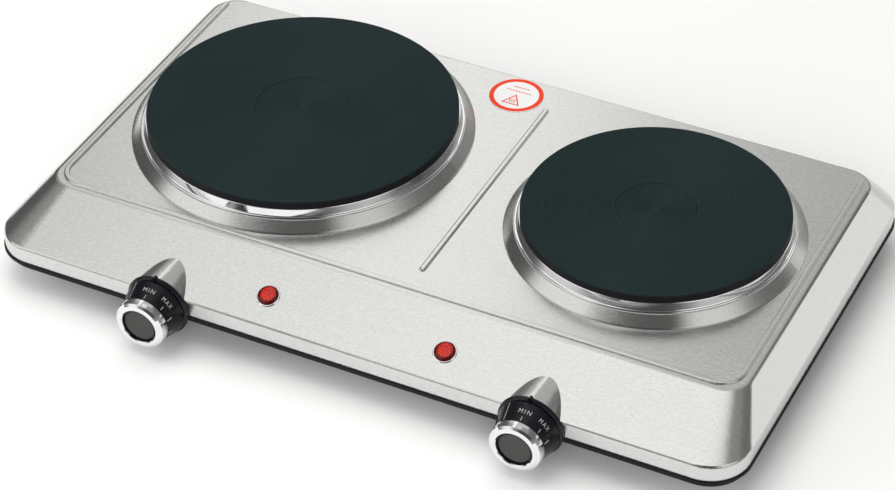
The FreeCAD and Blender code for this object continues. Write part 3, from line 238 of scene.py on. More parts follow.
@dataclass(frozen=True)
class Moulding:
    """A moulded, painted or fired surface: fine grain, soft blotches and worn edges.

    Attributes:
        name: Name of the finish.
        colour: Main colour.
        worn: Colour of edges and blotches.
        roughness: Lowest and highest roughness.
        grain: Grain size in millimetres.
        depth: Grain depth in millimetres.
        blotch: Size of the soft blotches in millimetres.
        metallic: One for bare metal.
        coat: Weight of the gloss on top.
        gloss: Strength of the surface reflection; one half is plain plastic.
        edge: Readings of edge sharpness where wear starts and is full.
        edge_wear: Most wear on an edge.
        blotch_wear: Most wear in a blotch.
        mottle: Readings of grain and blotches together that give the roughness limits.
        coat_roughness: Roughness of the gloss on top.
    """

    name: str
    colour: Colour
    worn: Colour
    roughness: tuple[float, float] = (0.35, 0.5)
    grain: float = 0.35
    depth: float = 0.01
    blotch: float = 12.0
    metallic: float = 0.0
    coat: float = 0.0
    gloss: float = 0.5
    edge: tuple[float, float] = (0.52, 0.62)
    edge_wear: float = 0.7
    blotch_wear: float = 0.45
    mottle: tuple[float, float] = (0.7, 1.3)
    coat_roughness: float = 0.08

    def material(self) -> bpy.types.Material:
        """Build the node material.

        Returns:
            The material.
        """
        sheet = NodeSheet(self.name)
        where = sheet.place()
        grain = sheet.noise(where, self.grain, 3.0)
        blotch = sheet.noise(where, self.blotch, 3.0)
        edges = sheet.span(sheet.node("NewGeometry").outputs["Pointiness"], 0.0, self.edge_wear, *self.edge)
        wear = sheet.maths("MAXIMUM", sheet.span(blotch, 0.0, self.blotch_wear), edges)
        mottle = sheet.span(sheet.maths("ADD", grain, blotch), *self.roughness, *self.mottle)
        sheet.set(
            Base_Color=sheet.tint(wear, self.colour, self.worn),
            Metallic=self.metallic,
            Roughness=mottle,
            Normal=sheet.relief(grain, self.depth),
            Specular_IOR_Level=self.gloss,
            Coat_Weight=self.coat,
            Coat_Roughness=self.coat_roughness,
        )
        return sheet.material


@dataclass(frozen=True)
class BrushedSteel:
    """Stainless sheet brushed along X, with short hairlines and a fine sparkle between them.

    Attributes:
        name: Name of the finish.
        light: Colour of the bright hairlines.
        dark: Colour of the dull hairlines.
        roughness: Lowest and highest roughness.
        depth: Depth of a hairline in millimetres.
        brushing: Direction of brushing, off every face's normal so that no face loses its grain.
        hairline: Stretch along X, pitch in millimetres, detail and weight of the hairlines.
        scratch: The same for the long scratches.
        sparkle: The same for the sparkle between them.
        bloom: The same for the broad cloudiness.
        brightness: Readings of the pattern that give the dark and the light colour.
        gleam: Readings of the pattern that give the lowest and highest roughness.
        grain: Strength of the grain's spread of light across the brushing.
    """

    name: str = "brushed stainless"
    light: Colour = (0.795, 0.800, 0.785)
    dark: Colour = (0.625, 0.638, 0.628)
    roughness: tuple[float, float] = (0.21, 0.28)
    depth: float = 0.0005
    brushing: tuple[float, float, float] = (1.0, 0.06, 0.03)
    hairline: Pattern = (0.14, 0.36, 4.0, 0.62)
    scratch: Pattern = (0.012, 1.6, 2.0, 0.05)
    sparkle: Pattern = (0.45, 0.75, 3.0, 0.25)
    bloom: Pattern = (0.6, 90.0, 1.0, 0.08)
    brightness: tuple[float, float] = (0.42, 0.70)
    gleam: tuple[float, float] = (0.38, 0.62)
    grain: float = 0.7

    def material(self) -> bpy.types.Material:
        """Build the node material.

        Returns:
            The material.
        """
        sheet = NodeSheet(self.name)
        layers = (self.hairline, self.scratch, self.sparkle, self.bloom)
        fine, long, bright, broad = (
            sheet.noise(sheet.place((stretch, 1.0, 1.0)), pitch, detail) for stretch, pitch, detail, _ in layers)
        of_fine, of_long, of_bright, of_broad = (layer[-1] for layer in layers)
        lines = sheet.maths("MULTIPLY_ADD", fine, of_fine, sheet.maths("MULTIPLY", long, of_long))
        shade = sheet.maths("MULTIPLY_ADD", broad, of_broad, sheet.maths("MULTIPLY_ADD", bright, of_bright, lines))
        rough = sheet.maths("MULTIPLY_ADD", broad, of_broad, lines)
        across = sheet.node("VectorMath", operation="CROSS_PRODUCT")
        sheet.feed(across.inputs[0], sheet.node("NewGeometry").outputs["Normal"])
        sheet.feed(across.inputs[1], self.brushing)
        sheet.set(
            Base_Color=sheet.tint(sheet.span(shade, 0.0, 1.0, *self.brightness), self.dark, self.light),
            Metallic=1.0,
            Roughness=sheet.span(rough, *self.roughness, *self.gleam),
            Normal=sheet.relief(fine, self.depth),
            Anisotropic=self.grain,
            Tangent=across.outputs["Vector"],
        )
        return sheet.material


@dataclass(frozen=True)
class PolishedSteel:
    """Bright metal with faint turning lines round its own axis.

    Attributes:
        name: Name of the finish.
        colour: Colour of the metal.
        roughness: Lowest and highest roughness.
        pitch: Spacing of the lines in millimetres.
        axis: Axis that the lines run round.
        depth: Depth of a line in millimetres.
        smear: Size in millimetres of the dull smears.
        line_share: Share of the lines in the pattern; the smears have the rest.
        dulling: Brightness of a smear next to the clean metal.
    """

    name: str
    colour: Colour = (0.86, 0.86, 0.87)
    roughness: tuple[float, float] = (0.04, 0.10)
    pitch: float = 0.5
    axis: str = "Z"
    depth: float = 0.0015
    smear: float = 9.0
    line_share: float = 0.4
    dulling: float = 0.9

    def material(self, centre: Vector) -> bpy.types.Material:
        """Build the node material.

        Args:
            centre: A point on the axis in metres.

        Returns:
            The material.
        """
        sheet = NodeSheet(self.name, centre)
        line = sheet.node("TexNoise", noise_dimensions="1D")
        sheet.feed(line.inputs["W"], sheet.radius(self.axis))
        sheet.feed(line.inputs["Scale"], 1.0 / self.pitch)
        smear = sheet.maths("MULTIPLY", sheet.noise(sheet.place(), self.smear, 3.0), 1.0 - self.line_share)
        both = sheet.maths("MULTIPLY_ADD", line.outputs["Fac"], self.line_share, smear)
        dull = tuple(c * self.dulling for c in self.colour)
        sheet.set(
            Base_Color=sheet.tint(sheet.span(both, 0.0, 1.0), self.colour, dull),
            Metallic=1.0,
            Roughness=sheet.span(both, *self.roughness),
            Normal=sheet.relief(line.outputs["Fac"], self.depth),
        )
        return sheet.material


@dataclass(frozen=True)
class CoatedIron:
    """Cast iron under a matt dark coating, finely speckled, a little greyer on the crests, with painted shade on the
    upright edge.

    Attributes:
        name: Name of the finish.
        colour: Colour of the coating.
        crest: Colour where the coating is rubbed.
        side: Painted shade of the upright edge: a darker, more purple colour than the face.
        roughness: Lowest and highest roughness.
        speck: Size of the fine specks in millimetres.
        depth: Depth of the specks in millimetres.
        patch: Size of the rubbed patches in millimetres.
        ring: Width of the rubbed rings in millimetres.
        ring_share: Share of the rings in the wear; the patches have the rest.
        slope: Upward parts of the normal that give the painted-shade side and the face.
        gloss: Strength of the surface reflection.
    """

    name: str = "coated cast iron"
    colour: Colour = (0.0042, 0.0142, 0.0148)
    crest: Colour = (0.0074, 0.0192, 0.0198)
    side: Colour = (0.0060, 0.0052, 0.0074)
    roughness: tuple[float, float] = (0.48, 0.62)
    speck: float = 0.45
    depth: float = 0.02
    patch: float = 38.0
    ring: float = 1.0 / 0.9
    ring_share: float = 0.4
    slope: tuple[float, float] = (0.25, 0.55)
    gloss: float = 0.22

    def material(self, centre: Vector) -> bpy.types.Material:
        """Build the node material.

        Args:
            centre: Centre of the plate in metres.

        Returns:
            The material.
        """
        sheet = NodeSheet(self.name, centre)
        speck = sheet.noise(sheet.place(), self.speck, 3.0)
        patch = sheet.maths("MULTIPLY", sheet.noise(sheet.place(), self.patch, 3.0), 1.0 - self.ring_share)
        ring = sheet.node("TexNoise", noise_dimensions="1D")
        sheet.feed(ring.inputs["W"], sheet.radius())
        sheet.feed(ring.inputs["Scale"], 1.0 / self.ring)
        worn = sheet.maths("MULTIPLY_ADD", ring.outputs["Fac"], self.ring_share, patch)
        face = sheet.tint(sheet.span(worn, 0.0, 1.0), self.colour, self.crest)
        # Painted shade: faces that turn from upward to upright fade to the darker side colour.
        upright = sheet.node("SeparateXYZ")
        sheet.feed(upright.inputs[0], sheet.node("NewGeometry").outputs["Normal"])
        level = sheet.span(upright.outputs["Z"], 0.0, 1.0, *self.slope)
        sheet.set(
            Base_Color=sheet.tint(level, self.side, face),
            Metallic=0.0,
            Roughness=sheet.span(speck, *self.roughness),
            Normal=sheet.relief(speck, self.depth),
            Specular_IOR_Level=self.gloss,
        )
        return sheet.material


@dataclass(frozen=True)
class RedLens:
    """Clear red plastic over a pyramid-patterned reflector: bright in the middle, deep at the rim.

    Attributes:
        name: Name of the finish.
        bright: Colour of the lit facets.
        deep: Colour of the rim and the grooves.
        pitch: Size of one pyramid in millimetres.
        reach: Radius in millimetres where the deep rim starts.
        soft: How far inside and outside the reach the change runs, in millimetres.
        facet: Distances from a pyramid's middle, in pitches, where it is bright and dark.
        scatter: How far the pyramids stray from a square grid; nought is not at all.
        groove: Depth between the pyramids in millimetres.
        glow: Strength of the lens's own light.
    """

    name: str = "red lens"
    bright: Colour = (0.80, 0.030, 0.012)
    deep: Colour = (0.050, 0.0006, 0.001)
    pitch: float = 0.7
    reach: float = 4.1
    soft: tuple[float, float] = (0.5, 0.7)
    facet: tuple[float, float] = (0.1, 0.6)
    scatter: float = 0.8
    groove: float = 0.05
    glow: float = 0.25

    def material(self, centre: Vector) -> bpy.types.Material:
        """Build the node material.

        Args:
            centre: Centre of the lens in metres.

        Returns:
            The material.
        """
        sheet = NodeSheet(self.name, centre)
        cells = sheet.node("TexVoronoi", feature="F1")
        sheet.feed(cells.inputs["Vector"], sheet.place())
        sheet.feed(cells.inputs["Scale"], 1.0 / self.pitch)
        sheet.feed(cells.inputs["Randomness"], self.scatter)
        facet = sheet.span(cells.outputs["Distance"], 1.0, 0.22, *self.facet)
        inside, outside = self.soft
        middle = sheet.span(sheet.radius(), 1.0, 0.0, self.reach - inside, self.reach + outside)
        glow = sheet.tint(sheet.maths("MULTIPLY", facet, middle), self.deep, self.bright)
        sheet.set(
            Base_Color=glow,
            Roughness=sheet.span(cells.outputs["Distance"], 0.16, 0.3, *self.facet),
            Normal=sheet.relief(cells.outputs["Distance"], self.groove),
            Specular_IOR_Level=0.1,
            Coat_Weight=0.5,
            Coat_Roughness=0.03,
            Emission_Color=glow,
            Emission_Strength=self.glow,
        )
        return sheet.material


@dataclass(frozen=True)
class CapInsert:
    """Grey knob insert: matt in the middle, glossy on its bevelled edge, where the recess's shade is painted on as
    near black.

    Attributes:
        name: Name of the finish.
        face: Colour of the middle.
        rim_shade: Painted shade of the recess, laid near black on the bevelled rim.
        reach: Radius in millimetres where the painted rim shade starts.
        soft: Width in millimetres of the change between them.
        grain: Grain size in millimetres.
        depth: Grain depth in millimetres.
        spread: How far the grain lightens and darkens the face, as a share of its colour.
        roughness: Roughness of the face and of the bevelled rim.
        gloss: Strength of the surface reflection.
    """

    name: str = "grey cap plastic"
    face: Colour = (0.046, 0.046, 0.043)
    rim_shade: Colour = (0.0035, 0.0035, 0.0035)
    reach: float = 9.0
    soft: float = 0.25
    grain: float = 0.4
    depth: float = 0.006
    spread: float = 0.15
    roughness: tuple[float, float] = (0.5, 0.2)
    gloss: float = 0.3

    def material(self, centre: Vector) -> bpy.types.Material:
        """Build the node material.

        Args:
            centre: A point on the knob's axis in metres.

        Returns:
            The material.
        """
        sheet = NodeSheet(self.name, centre)
        grain = sheet.noise(sheet.place(), self.grain, 3.0)
        # Painted shade: beyond the reach the rim takes the near-black colour of the recess's shade.
        edge = sheet.span(sheet.radius("Y"), 0.0, 1.0, self.reach, self.reach + self.soft)
        dim, bright = (tuple(c * (1.0 + change) for c in self.face) for change in (-self.spread, self.spread))
        shade = sheet.tint(grain, dim, bright)
        sheet.set(
            Base_Color=sheet.tint(edge, shade, self.rim_shade),
            Roughness=sheet.span(edge, *self.roughness),
            Normal=sheet.relief(grain, self.depth),
            Specular_IOR_Level=self.gloss,
        )
        return sheet.material


CAST_IRON = CoatedIron()
STEEL_SHEET = BrushedSteel()
RING_STEEL = PolishedSteel("polished ring steel")
CHROME = PolishedSteel("bright chrome", (0.88, 0.88, 0.89), (0.03, 0.07), 0.7, "Y")
LENS = RedLens()
PAN_ENAMEL = Moulding("black enamel", (0.003, 0.005, 0.005), (0.009, 0.011, 0.011), (0.30, 0.42), 1.6, 0.015, 30.0,
                      gloss=0.12)
BLACK_PLASTIC = Moulding("black plastic", (0.003, 0.003, 0.0055), (0.009, 0.009, 0.013), (0.24, 0.34), 0.5, 0.006,
                         gloss=0.3)
CAP_PLASTIC = CapInsert()
PLAIN_STEEL = Moulding("zinc-plated steel", (0.55, 0.56, 0.58), (0.68, 0.67, 0.62), (0.28, 0.45), 0.6, 0.006, 7.0, 1.0)
ALUMINIUM = Moulding("shield aluminium", (0.72, 0.73, 0.74), (0.6, 0.6, 0.6), (0.3, 0.42), 0.9, 0.01, 20.0, 1.0)
CERAMIC = Moulding("glazed ceramic", (0.72, 0.69, 0.62), (0.55, 0.51, 0.44), (0.25, 0.4), 0.8, 0.01, 8.0, 0.0, 0.3)
FILLING = Moulding("pressed filling", (0.42, 0.37, 0.30), (0.55, 0.5, 0.43), (0.85, 0.95), 0.7, 0.08, 6.0)
COIL_METAL = Moulding("oxidised coil wire", (0.16, 0.12, 0.10), (0.28, 0.22, 0.17), (0.4, 0.55), 0.3, 0.01, 4.0, 1.0)
RUBBER = Moulding("foot rubber", (0.018, 0.018, 0.019), (0.045, 0.044, 0.042), (0.7, 0.85), 0.35, 0.03, 5.0)
WHITE_PLASTIC = Moulding("white plastic", (0.75, 0.75, 0.72), (0.62, 0.61, 0.57), (0.35, 0.48), 0.5, 0.006)
BRASS = Moulding("earth brass", (0.70, 0.50, 0.22), (0.55, 0.38, 0.18), (0.25, 0.4), 0.5, 0.006, 4.0, 1.0)
WHITE_FILM = Moulding("white film", (0.83, 0.83, 0.82), (0.74, 0.74, 0.73), (0.3, 0.4), 0.8, 0.004, 5.0, 0.0, 0.4)
RED_INK = Moulding("orange-red ink", (0.86, 0.055, 0.012), (0.74, 0.040, 0.010), (0.32, 0.42), 0.5, 0.004, 2.5,
                   gloss=0.2)
PALE_INK = Moulding("pale red ink", (0.80, 0.30, 0.20), (0.65, 0.22, 0.14), (0.35, 0.45), 0.5, 0.004, 2.0, 0.0, 0.3)
WHITE_INK = Moulding("white dial ink", (0.46, 0.46, 0.45), (0.32, 0.32, 0.31), (0.45, 0.6), 0.3, 0.004, 1.2)
BROWN_SLEEVE = Moulding("brown glass sleeve", (0.23, 0.12, 0.07), (0.33, 0.19, 0.12), (0.6, 0.75), 0.3, 0.03, 3.0)
BLUE_SLEEVE = Moulding("blue glass sleeve", (0.04, 0.10, 0.38), (0.08, 0.16, 0.45), (0.6, 0.75), 0.3, 0.03, 3.0)
GREEN_SLEEVE = Moulding("green glass sleeve", (0.10, 0.33, 0.06), (0.45, 0.48, 0.05), (0.6, 0.75), 0.3, 0.03, 3.0)
FLOOR_PAINT = Moulding("pale floor", (0.90, 0.90, 0.90), (0.92, 0.92, 0.92), (0.75, 0.85), 3.0, 0.02, 300.0)


class SubAssembly:
    """Shared work of every sub-assembly: dressing frame nodes and adding new pieces.

    Attributes:
        finished: Names of the pieces that all sub-assemblies have finished so far, in order.
    """

    finished: ClassVar[list[str]] = []

    def build(self) -> None:
        """Make and dress the pieces; each sub-assembly does its own."""
        raise NotImplementedError

    def dress(self, nodes: Iterable[str], material: bpy.types.Material) -> None:
        """Give frame nodes a material and leave their shape alone.

        Args:
            nodes: Node names.
            material: The material they all take.
        """
        for name in nodes:
            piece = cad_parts[name]
            for slot in piece.material_slots:
                slot.material = material
            self.finished.append(name)

    def add(
        self,
        name: str,
        points: Sequence[Point],
        faces: Sequence[Sequence[int]],
        material: bpy.types.Material,
        body: Body = Body.HOUSING,
        slot: str | None = None,
        smooth: float | None = 30.0,
    ) -> bpy.types.Object:
        """Make a piece from points in millimetres.

        Args:
            name: Name of the piece.
            points: Corners in millimetres in the frame's axes.
            faces: Corner numbers of each face.
            material: Its material.
            body: Body that it rides on.
            slot: Material slot of the record that it follows; not used.
            smooth: Edges sharper than this many degrees stay crisp; None keeps every face flat.

        Returns:
            The new piece.
        """
        mesh = bpy.data.meshes.new(name)
        mesh.from_pydata([Vector(p) * MM for p in points], [], faces)
        mesh.validate()
        mesh.materials.append(material)
        if smooth is not None:
            mesh.shade_smooth()
            mesh.set_sharp_from_angle(angle=math.radians(smooth))
        piece = bpy.data.objects.new(name, mesh)
        bpy.context.scene.collection.objects.link(piece)
        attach(piece, body.value)
        self.finished.append(name)
        return piece


def middle(node: str) -> Vector:
    """Centre of a frame node's box, in metres."""
    low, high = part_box(node)
    return (low + high) / 2


def turned(profile: Sequence[tuple[float, float]], centre: Vector, steps: int) -> tuple[list[Point], list[list[int]]]:
    """Turn a profile that starts and ends on the axis about a vertical line.

    Args:
        profile: Radius and height of each step in millimetres, from the top centre to the bottom centre.
        centre: A point on the line, in millimetres.
        steps: Number of steps round.

    Returns:
        Points and faces of a closed body.
    """
    points: list[Point] = [(centre.x, centre.y, profile[0][1])]
    rings = profile[1:-1]
    for radius, height in rings:
        for step in range(steps):
            turn = FULL_TURN * step / steps
            points.append((centre.x + radius * math.cos(turn), centre.y + radius * math.sin(turn), height))
    points.append((centre.x, centre.y, profile[-1][1]))
    last = len(points) - 1
    faces: list[list[int]] = []
    for step in range(steps):
        after = (step + 1) % steps
        faces.append([0, 1 + step, 1 + after])
        for ring in range(len(rings) - 1):
            a = 1 + ring * steps
            b = a + steps
            faces.append([a + step, b + step, b + after, a + after])
        end = 1 + (len(rings) - 1) * steps
        faces.append([last, end + after, end + step])
    return points, faces


@dataclass
class HotPlate(SubAssembly):
    """One burner: cast plate with its turned grooves, and the polished ring round it.

    Attributes:
        size: large or small, as the frame names it.
        recess: Radius of the sunk middle in millimetres.
        pitch: Groove spacing in millimetres.
        groove: Groove depth in millimetres.
        chamfer: Bevel of the top edge in millimetres.
        sink: Depth of the sunk middle in millimetres.
        wall: Height of the visible side in millimetres.
        ledge: Step between the side and the underside in millimetres.
        steps: Number of steps round.
        crest_share: Share of the pitch that the flat crest fills.
        valley_share: Share of the pitch where the groove is deepest.
        crisp: Edges sharper than this many degrees stay crisp.
    """

    size: str
    recess: float
    pitch: float = 1.15
    groove: float = 0.20
    chamfer: float = 0.9
    sink: float = 0.5
    wall: float = 4.6
    ledge: float = 1.0
    steps: int = 168
    crest_share: float = 0.45
    valley_share: float = 0.72
    crisp: float = 8.0

    def profile(self, radius: float, top: float, bottom: float) -> list[tuple[float, float]]:
        """Half section of the plate.

        Args:
            radius: Outer radius in millimetres.
            top: Height of the working face in millimetres.
            bottom: Height of the underside in millimetres.

        Returns:
            Radius and height pairs from the top centre to the bottom centre.
        """
        steps = [(0.0, top - self.sink)]
        steps += self.ridges(1.5, self.recess - 0.5, top - self.sink)
        steps += [(self.recess - 0.3, top - self.sink), (self.recess, top - self.sink * 0.2), (self.recess + 0.2, top)]
        steps += self.ridges(self.recess + 0.6, radius - self.chamfer - 0.3, top)
        steps += [(radius - self.chamfer, top), (radius - self.chamfer * 0.35, top - self.chamfer * 0.3),
                  (radius, top - self.chamfer)]
        side = top - self.wall
        steps += [(radius, side), (radius - self.ledge, side), (radius - self.ledge, bottom), (0.0, bottom)]
        return steps

    def ridges(self, start: float, end: float, level: float) -> list[tuple[float, float]]:
        """Turned grooves between two radii.

        Args:
            start: Inner radius in millimetres.
            end: Outer radius in millimetres.
            level: Height of the crests in millimetres.

        Returns:
            Radius and height pairs.
        """
        count = max(1, round((end - start) / self.pitch))
        pitch = (end - start) / count
        made: list[tuple[float, float]] = []
        for number in range(count):
            at = start + number * pitch
            made += [(at, level), (at + pitch * self.crest_share, level),
                     (at + pitch * self.valley_share, level - self.groove)]
        made.append((end, level))
        return made

    def build(self) -> None:
        """Replace the frame's plain plate by the grooved one, and dress the ring."""
        low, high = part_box(f"plate_{self.size}")
        centre = (low + high) / 2
        radius = (high.x - low.x) / 2 / MM
        outline = self.profile(radius, high.z / MM, low.z / MM)
        points, faces = turned(outline, centre / MM, self.steps)
        plate = self.add(f"burner_plate_{self.size}", points, faces, CAST_IRON.material(centre),
                         slot="cast_plate", smooth=self.crisp)
        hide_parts(f"plate_{self.size}")
        self.dress([f"overfall_ring_{self.size}"], RING_STEEL.material(centre))


@dataclass
class Housing(SubAssembly):
    """Brushed cover, enamelled base pan and everything fixed to them from below.

    Attributes:
        feet: Names of the rubber feet.
    """

    feet: tuple[str, ...] = ("foot_front_left", "foot_front_right", "foot_rear_left", "foot_rear_right")

    def build(self) -> None:
        """Dress the cover, the pan, the feet and the screws."""
        self.dress(["top_cover"], STEEL_SHEET.material())
        self.dress(["base_pan"], PAN_ENAMEL.material())
        self.dress(self.feet, RUBBER.material())
        self.dress(["foot_screws", "base_screws", "posts"], PLAIN_STEEL.material())
        self.dress(["cord_gland"], BLACK_PLASTIC.material())


@dataclass
class Innards(SubAssembly):
    """Parts inside the housing: coils, filling, shields, thermostats, terminals and leads.

    Attributes:
        sizes: Names of the burners that a part may belong to.
        sides: Names of the knobs that a part may belong to.
    """

    sizes: tuple[str, ...] = ("large", "small")
    sides: tuple[str, ...] = ("left", "right")

    def sized(self, *stems: str) -> list[str]:
        """Names of the nodes that come once for each burner."""
        return [f"{stem}_{size}" for stem in stems for size in self.sizes]

    def sided(self, *stems: str) -> list[str]:
        """Names of the nodes that come once for each knob."""
        return [f"{stem}_{side}" for stem in stems for side in self.sides]

    def build(self) -> None:
        """Dress every inner part in its own material."""
        steel = PLAIN_STEEL.material()
        self.dress(self.sized("coil"), COIL_METAL.material())
        self.dress(self.sized("insulation"), FILLING.material())
        self.dress(self.sized("heat_shield"), ALUMINIUM.material())
        self.dress(self.sized("plate_terminal") + self.sided("thermostat"), CERAMIC.material())
        self.dress(self.sized("plate_cover", "stud", "clamp_bar") + ["clamp_nuts"], steel)
        self.dress(self.sided("bracket", "shaft") + ["bracket_rivets"], steel)
        self.dress(["mains_terminal"], WHITE_PLASTIC.material())
        self.dress(["earth_stud"], BRASS.material())
        self.dress(self.sized("lead_plate") + self.sided("lead_line", "lead_lamp"), BROWN_SLEEVE.material())
        self.dress(self.sized("lead_neutral"), BLUE_SLEEVE.material())
        self.dress(["lead_earth"], GREEN_SLEEVE.material())


@dataclass
class PilotLamp(SubAssembly):
    """Red lamp lenses in their bright rims.

    Attributes:
        sides: Names of the lamps.
    """

    sides: tuple[str, ...] = ("left", "right")

    def build(self) -> None:
        """Dress lenses, rims and stems."""
        for side in self.sides:
            self.dress([f"lamp_lens_{side}"], LENS.material(middle(f"lamp_lens_{side}")))
        self.dress(["lamp_rims"], CHROME.material(middle("lamp_rims")))
        self.dress(["lamp_stems"], BLACK_PLASTIC.material())


@dataclass
class ControlKnob(SubAssembly):
    """One knob with its bezel, chrome ring, grey cap and dial marks.

    Attributes:
        side: left or right, as the frame names it.
        foot_radius: Radius of the grip at the bezel in millimetres.
        nose_radius: Radius of the grip at the chrome ring in millimetres.
        bead: Where the taper starts, in millimetres forward of the bezel.
        grip: Length of the taper in millimetres.
        lift: How far the ink stands off the grip in millimetres.
        letter_height: Height of the words in millimetres.
        word_width: Length of a word round the grip in millimetres.
        words: Words and their angles right of the top, in degrees.
        word_centre: Middle of the words, in millimetres forward of the bezel.
        letter_space: Spacing of the letters; one is the font's own.
        long_line_angle: Angle of the long light line along the grip, in degrees.
        long_line: Start, end and width of the long light line in millimetres.
        word_tick: Start, end and width of the tick under a word in millimetres.
        dots: Angles of the graded marks, in degrees.
        dot_mark: Start of the shortest graded mark, end and width of each in millimetres.
        dot_growth: How much earlier each graded mark starts than the last, in millimetres.
        slices: Steps along a mark, so that it follows the taper.
    """

    side: str
    foot_radius: float = 18.0
    nose_radius: float = 15.2
    bead: float = 2.2
    grip: float = 11.1
    lift: float = 0.05
    letter_height: float = 2.5
    word_width: float = 7.2
    words: tuple[tuple[str, float], ...] = (("MIN", 2.0), ("MAX", 45.0))
    word_centre: float = 6.2
    letter_space: float = 1.35
    long_line_angle: float = -36.0
    long_line: tuple[float, float, float] = (1.2, 12.4, 0.32)
    word_tick: tuple[float, float, float] = (9.6, 12.2, 0.35)
    dots: tuple[float, ...] = (-72.0, -108.0, -144.0, -180.0, -216.0, -252.0, -286.0)
    dot_mark: tuple[float, float, float] = (10.9, 12.2, 0.55)
    dot_growth: float = 0.35
    slices: int = 4

    def build(self) -> None:
        """Dress the knob's parts and print its dial."""
        centre = middle(f"knob_{self.side}")
        plastic = BLACK_PLASTIC.material()
        self.dress([f"bezel_{self.side}", f"knob_{self.side}"], plastic)
        self.dress([f"knob_ring_{self.side}"], CHROME.material(centre))
        self.dress([f"knob_cap_{self.side}"], CAP_PLASTIC.material(centre))
        ink = WHITE_INK.material()
        for word, angle in self.words:
            self.print_word(word, angle, ink)
        self.print_ticks(ink)

    def on_grip(self, angle: float, along: float, lift: float) -> Point:
        """A point on the tapered grip.

        Args:
            angle: Degrees right of the top, seen from the front.
            along: Millimetres forward of the bezel.
            lift: Millimetres off the surface.

        Returns:
            The point in millimetres.
        """
        low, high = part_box(f"knob_{self.side}")
        taper = (self.nose_radius - self.foot_radius) * (along - self.bead) / self.grip
        radius = self.foot_radius + taper + lift
        turn = math.radians(angle)
        axis = (low + high) / 2 / MM
        return (axis.x + radius * math.sin(turn), high.y / MM - along, axis.z + radius * math.cos(turn))

    def wrap(self, name: str, points: Sequence[tuple[float, float, float]], faces: Sequence[Sequence[int]],
             ink: bpy.types.Material) -> None:
        """Lay flat artwork round the grip.

        Args:
            name: Name of the piece.
            points: Degrees right of the top, millimetres forward of the bezel, and lift.
            faces: Corner numbers of each face.
            ink: Material of the print.
        """
        laid = [self.on_grip(*p) for p in points]
        self.add(name, laid, faces, ink, Body(f"knob_{self.side}"), smooth=None)

    def print_word(self, word: str, angle: float, ink: bpy.types.Material) -> None:
        """Print one dial word with its top toward the housing.

        Args:
            word: The word.
            angle: Degrees right of the top.
            ink: Material of the print.
        """
        letters = bpy.data.curves.new(f"artwork_{word}", "FONT")
        letters.body = word
        letters.space_character = self.letter_space
        letters.extrude = 0.01
        letters.align_x = "CENTER"
        letters.resolution_u = 3
        flat = bpy.data.objects.new(f"artwork_{word}", letters)
        bpy.context.scene.collection.objects.link(flat)
        mesh = bpy.data.meshes.new_from_object(flat)
        bpy.data.objects.remove(flat)
        spots = [v.co.copy() for v in mesh.vertices]
        left, right = min(p.x for p in spots), max(p.x for p in spots)
        foot, head = min(p.y for p in spots), max(p.y for p in spots)
        mean_radius = (self.foot_radius + self.nose_radius) / 2
        degrees_wide = math.degrees(self.word_width / mean_radius)
        laid = []
        for spot in spots:
            across = ((spot.x - left) / (right - left) - 0.5) * degrees_wide
            up = ((spot.y - foot) / (head - foot) - 0.5) * self.letter_height
            laid.append((angle + across, self.word_centre - up, self.lift if spot.z > 0 else -self.lift))
        self.wrap(f"dial_{word.lower()}_{self.side}", laid, [list(f.vertices) for f in mesh.polygons], ink)

    def print_ticks(self, ink: bpy.types.Material) -> None:
        """Print the long light line, a tick under each word and the graded marks between them.

        Args:
            ink: Material of the print.
        """
        start, end, width = self.dot_mark
        marks = [(self.long_line_angle, *self.long_line)]
        marks += [(angle, *self.word_tick) for _, angle in self.words]
        marks += [(angle, start - self.dot_growth * number, end, width) for number, angle in enumerate(self.dots)]
        points: list[Point] = []
        faces: list[list[int]] = []
        for angle, start, end, width in marks:
            half = math.degrees(width / 2 / self.nose_radius)
            first = len(points)
            for step in range(self.slices + 1):
                along = start + (end - start) * step / self.slices
                for side, lift in ((-half, -self.lift), (half, -self.lift), (half, self.lift), (-half, self.lift)):
                    points.append((angle + side, along, lift))
            for step in range(self.slices):
                a = first + step * 4
                for corner in range(4):
                    after = (corner + 1) % 4
                    faces.append([a + corner, a + after, a + 4 + after, a + 4 + corner])
            last = first + self.slices * 4
            faces += [[first + 3, first + 2, first + 1, first], [last, last + 1, last + 2, last + 3]]
        self.wrap(f"dial_ticks_{self.side}", points, faces, ink)


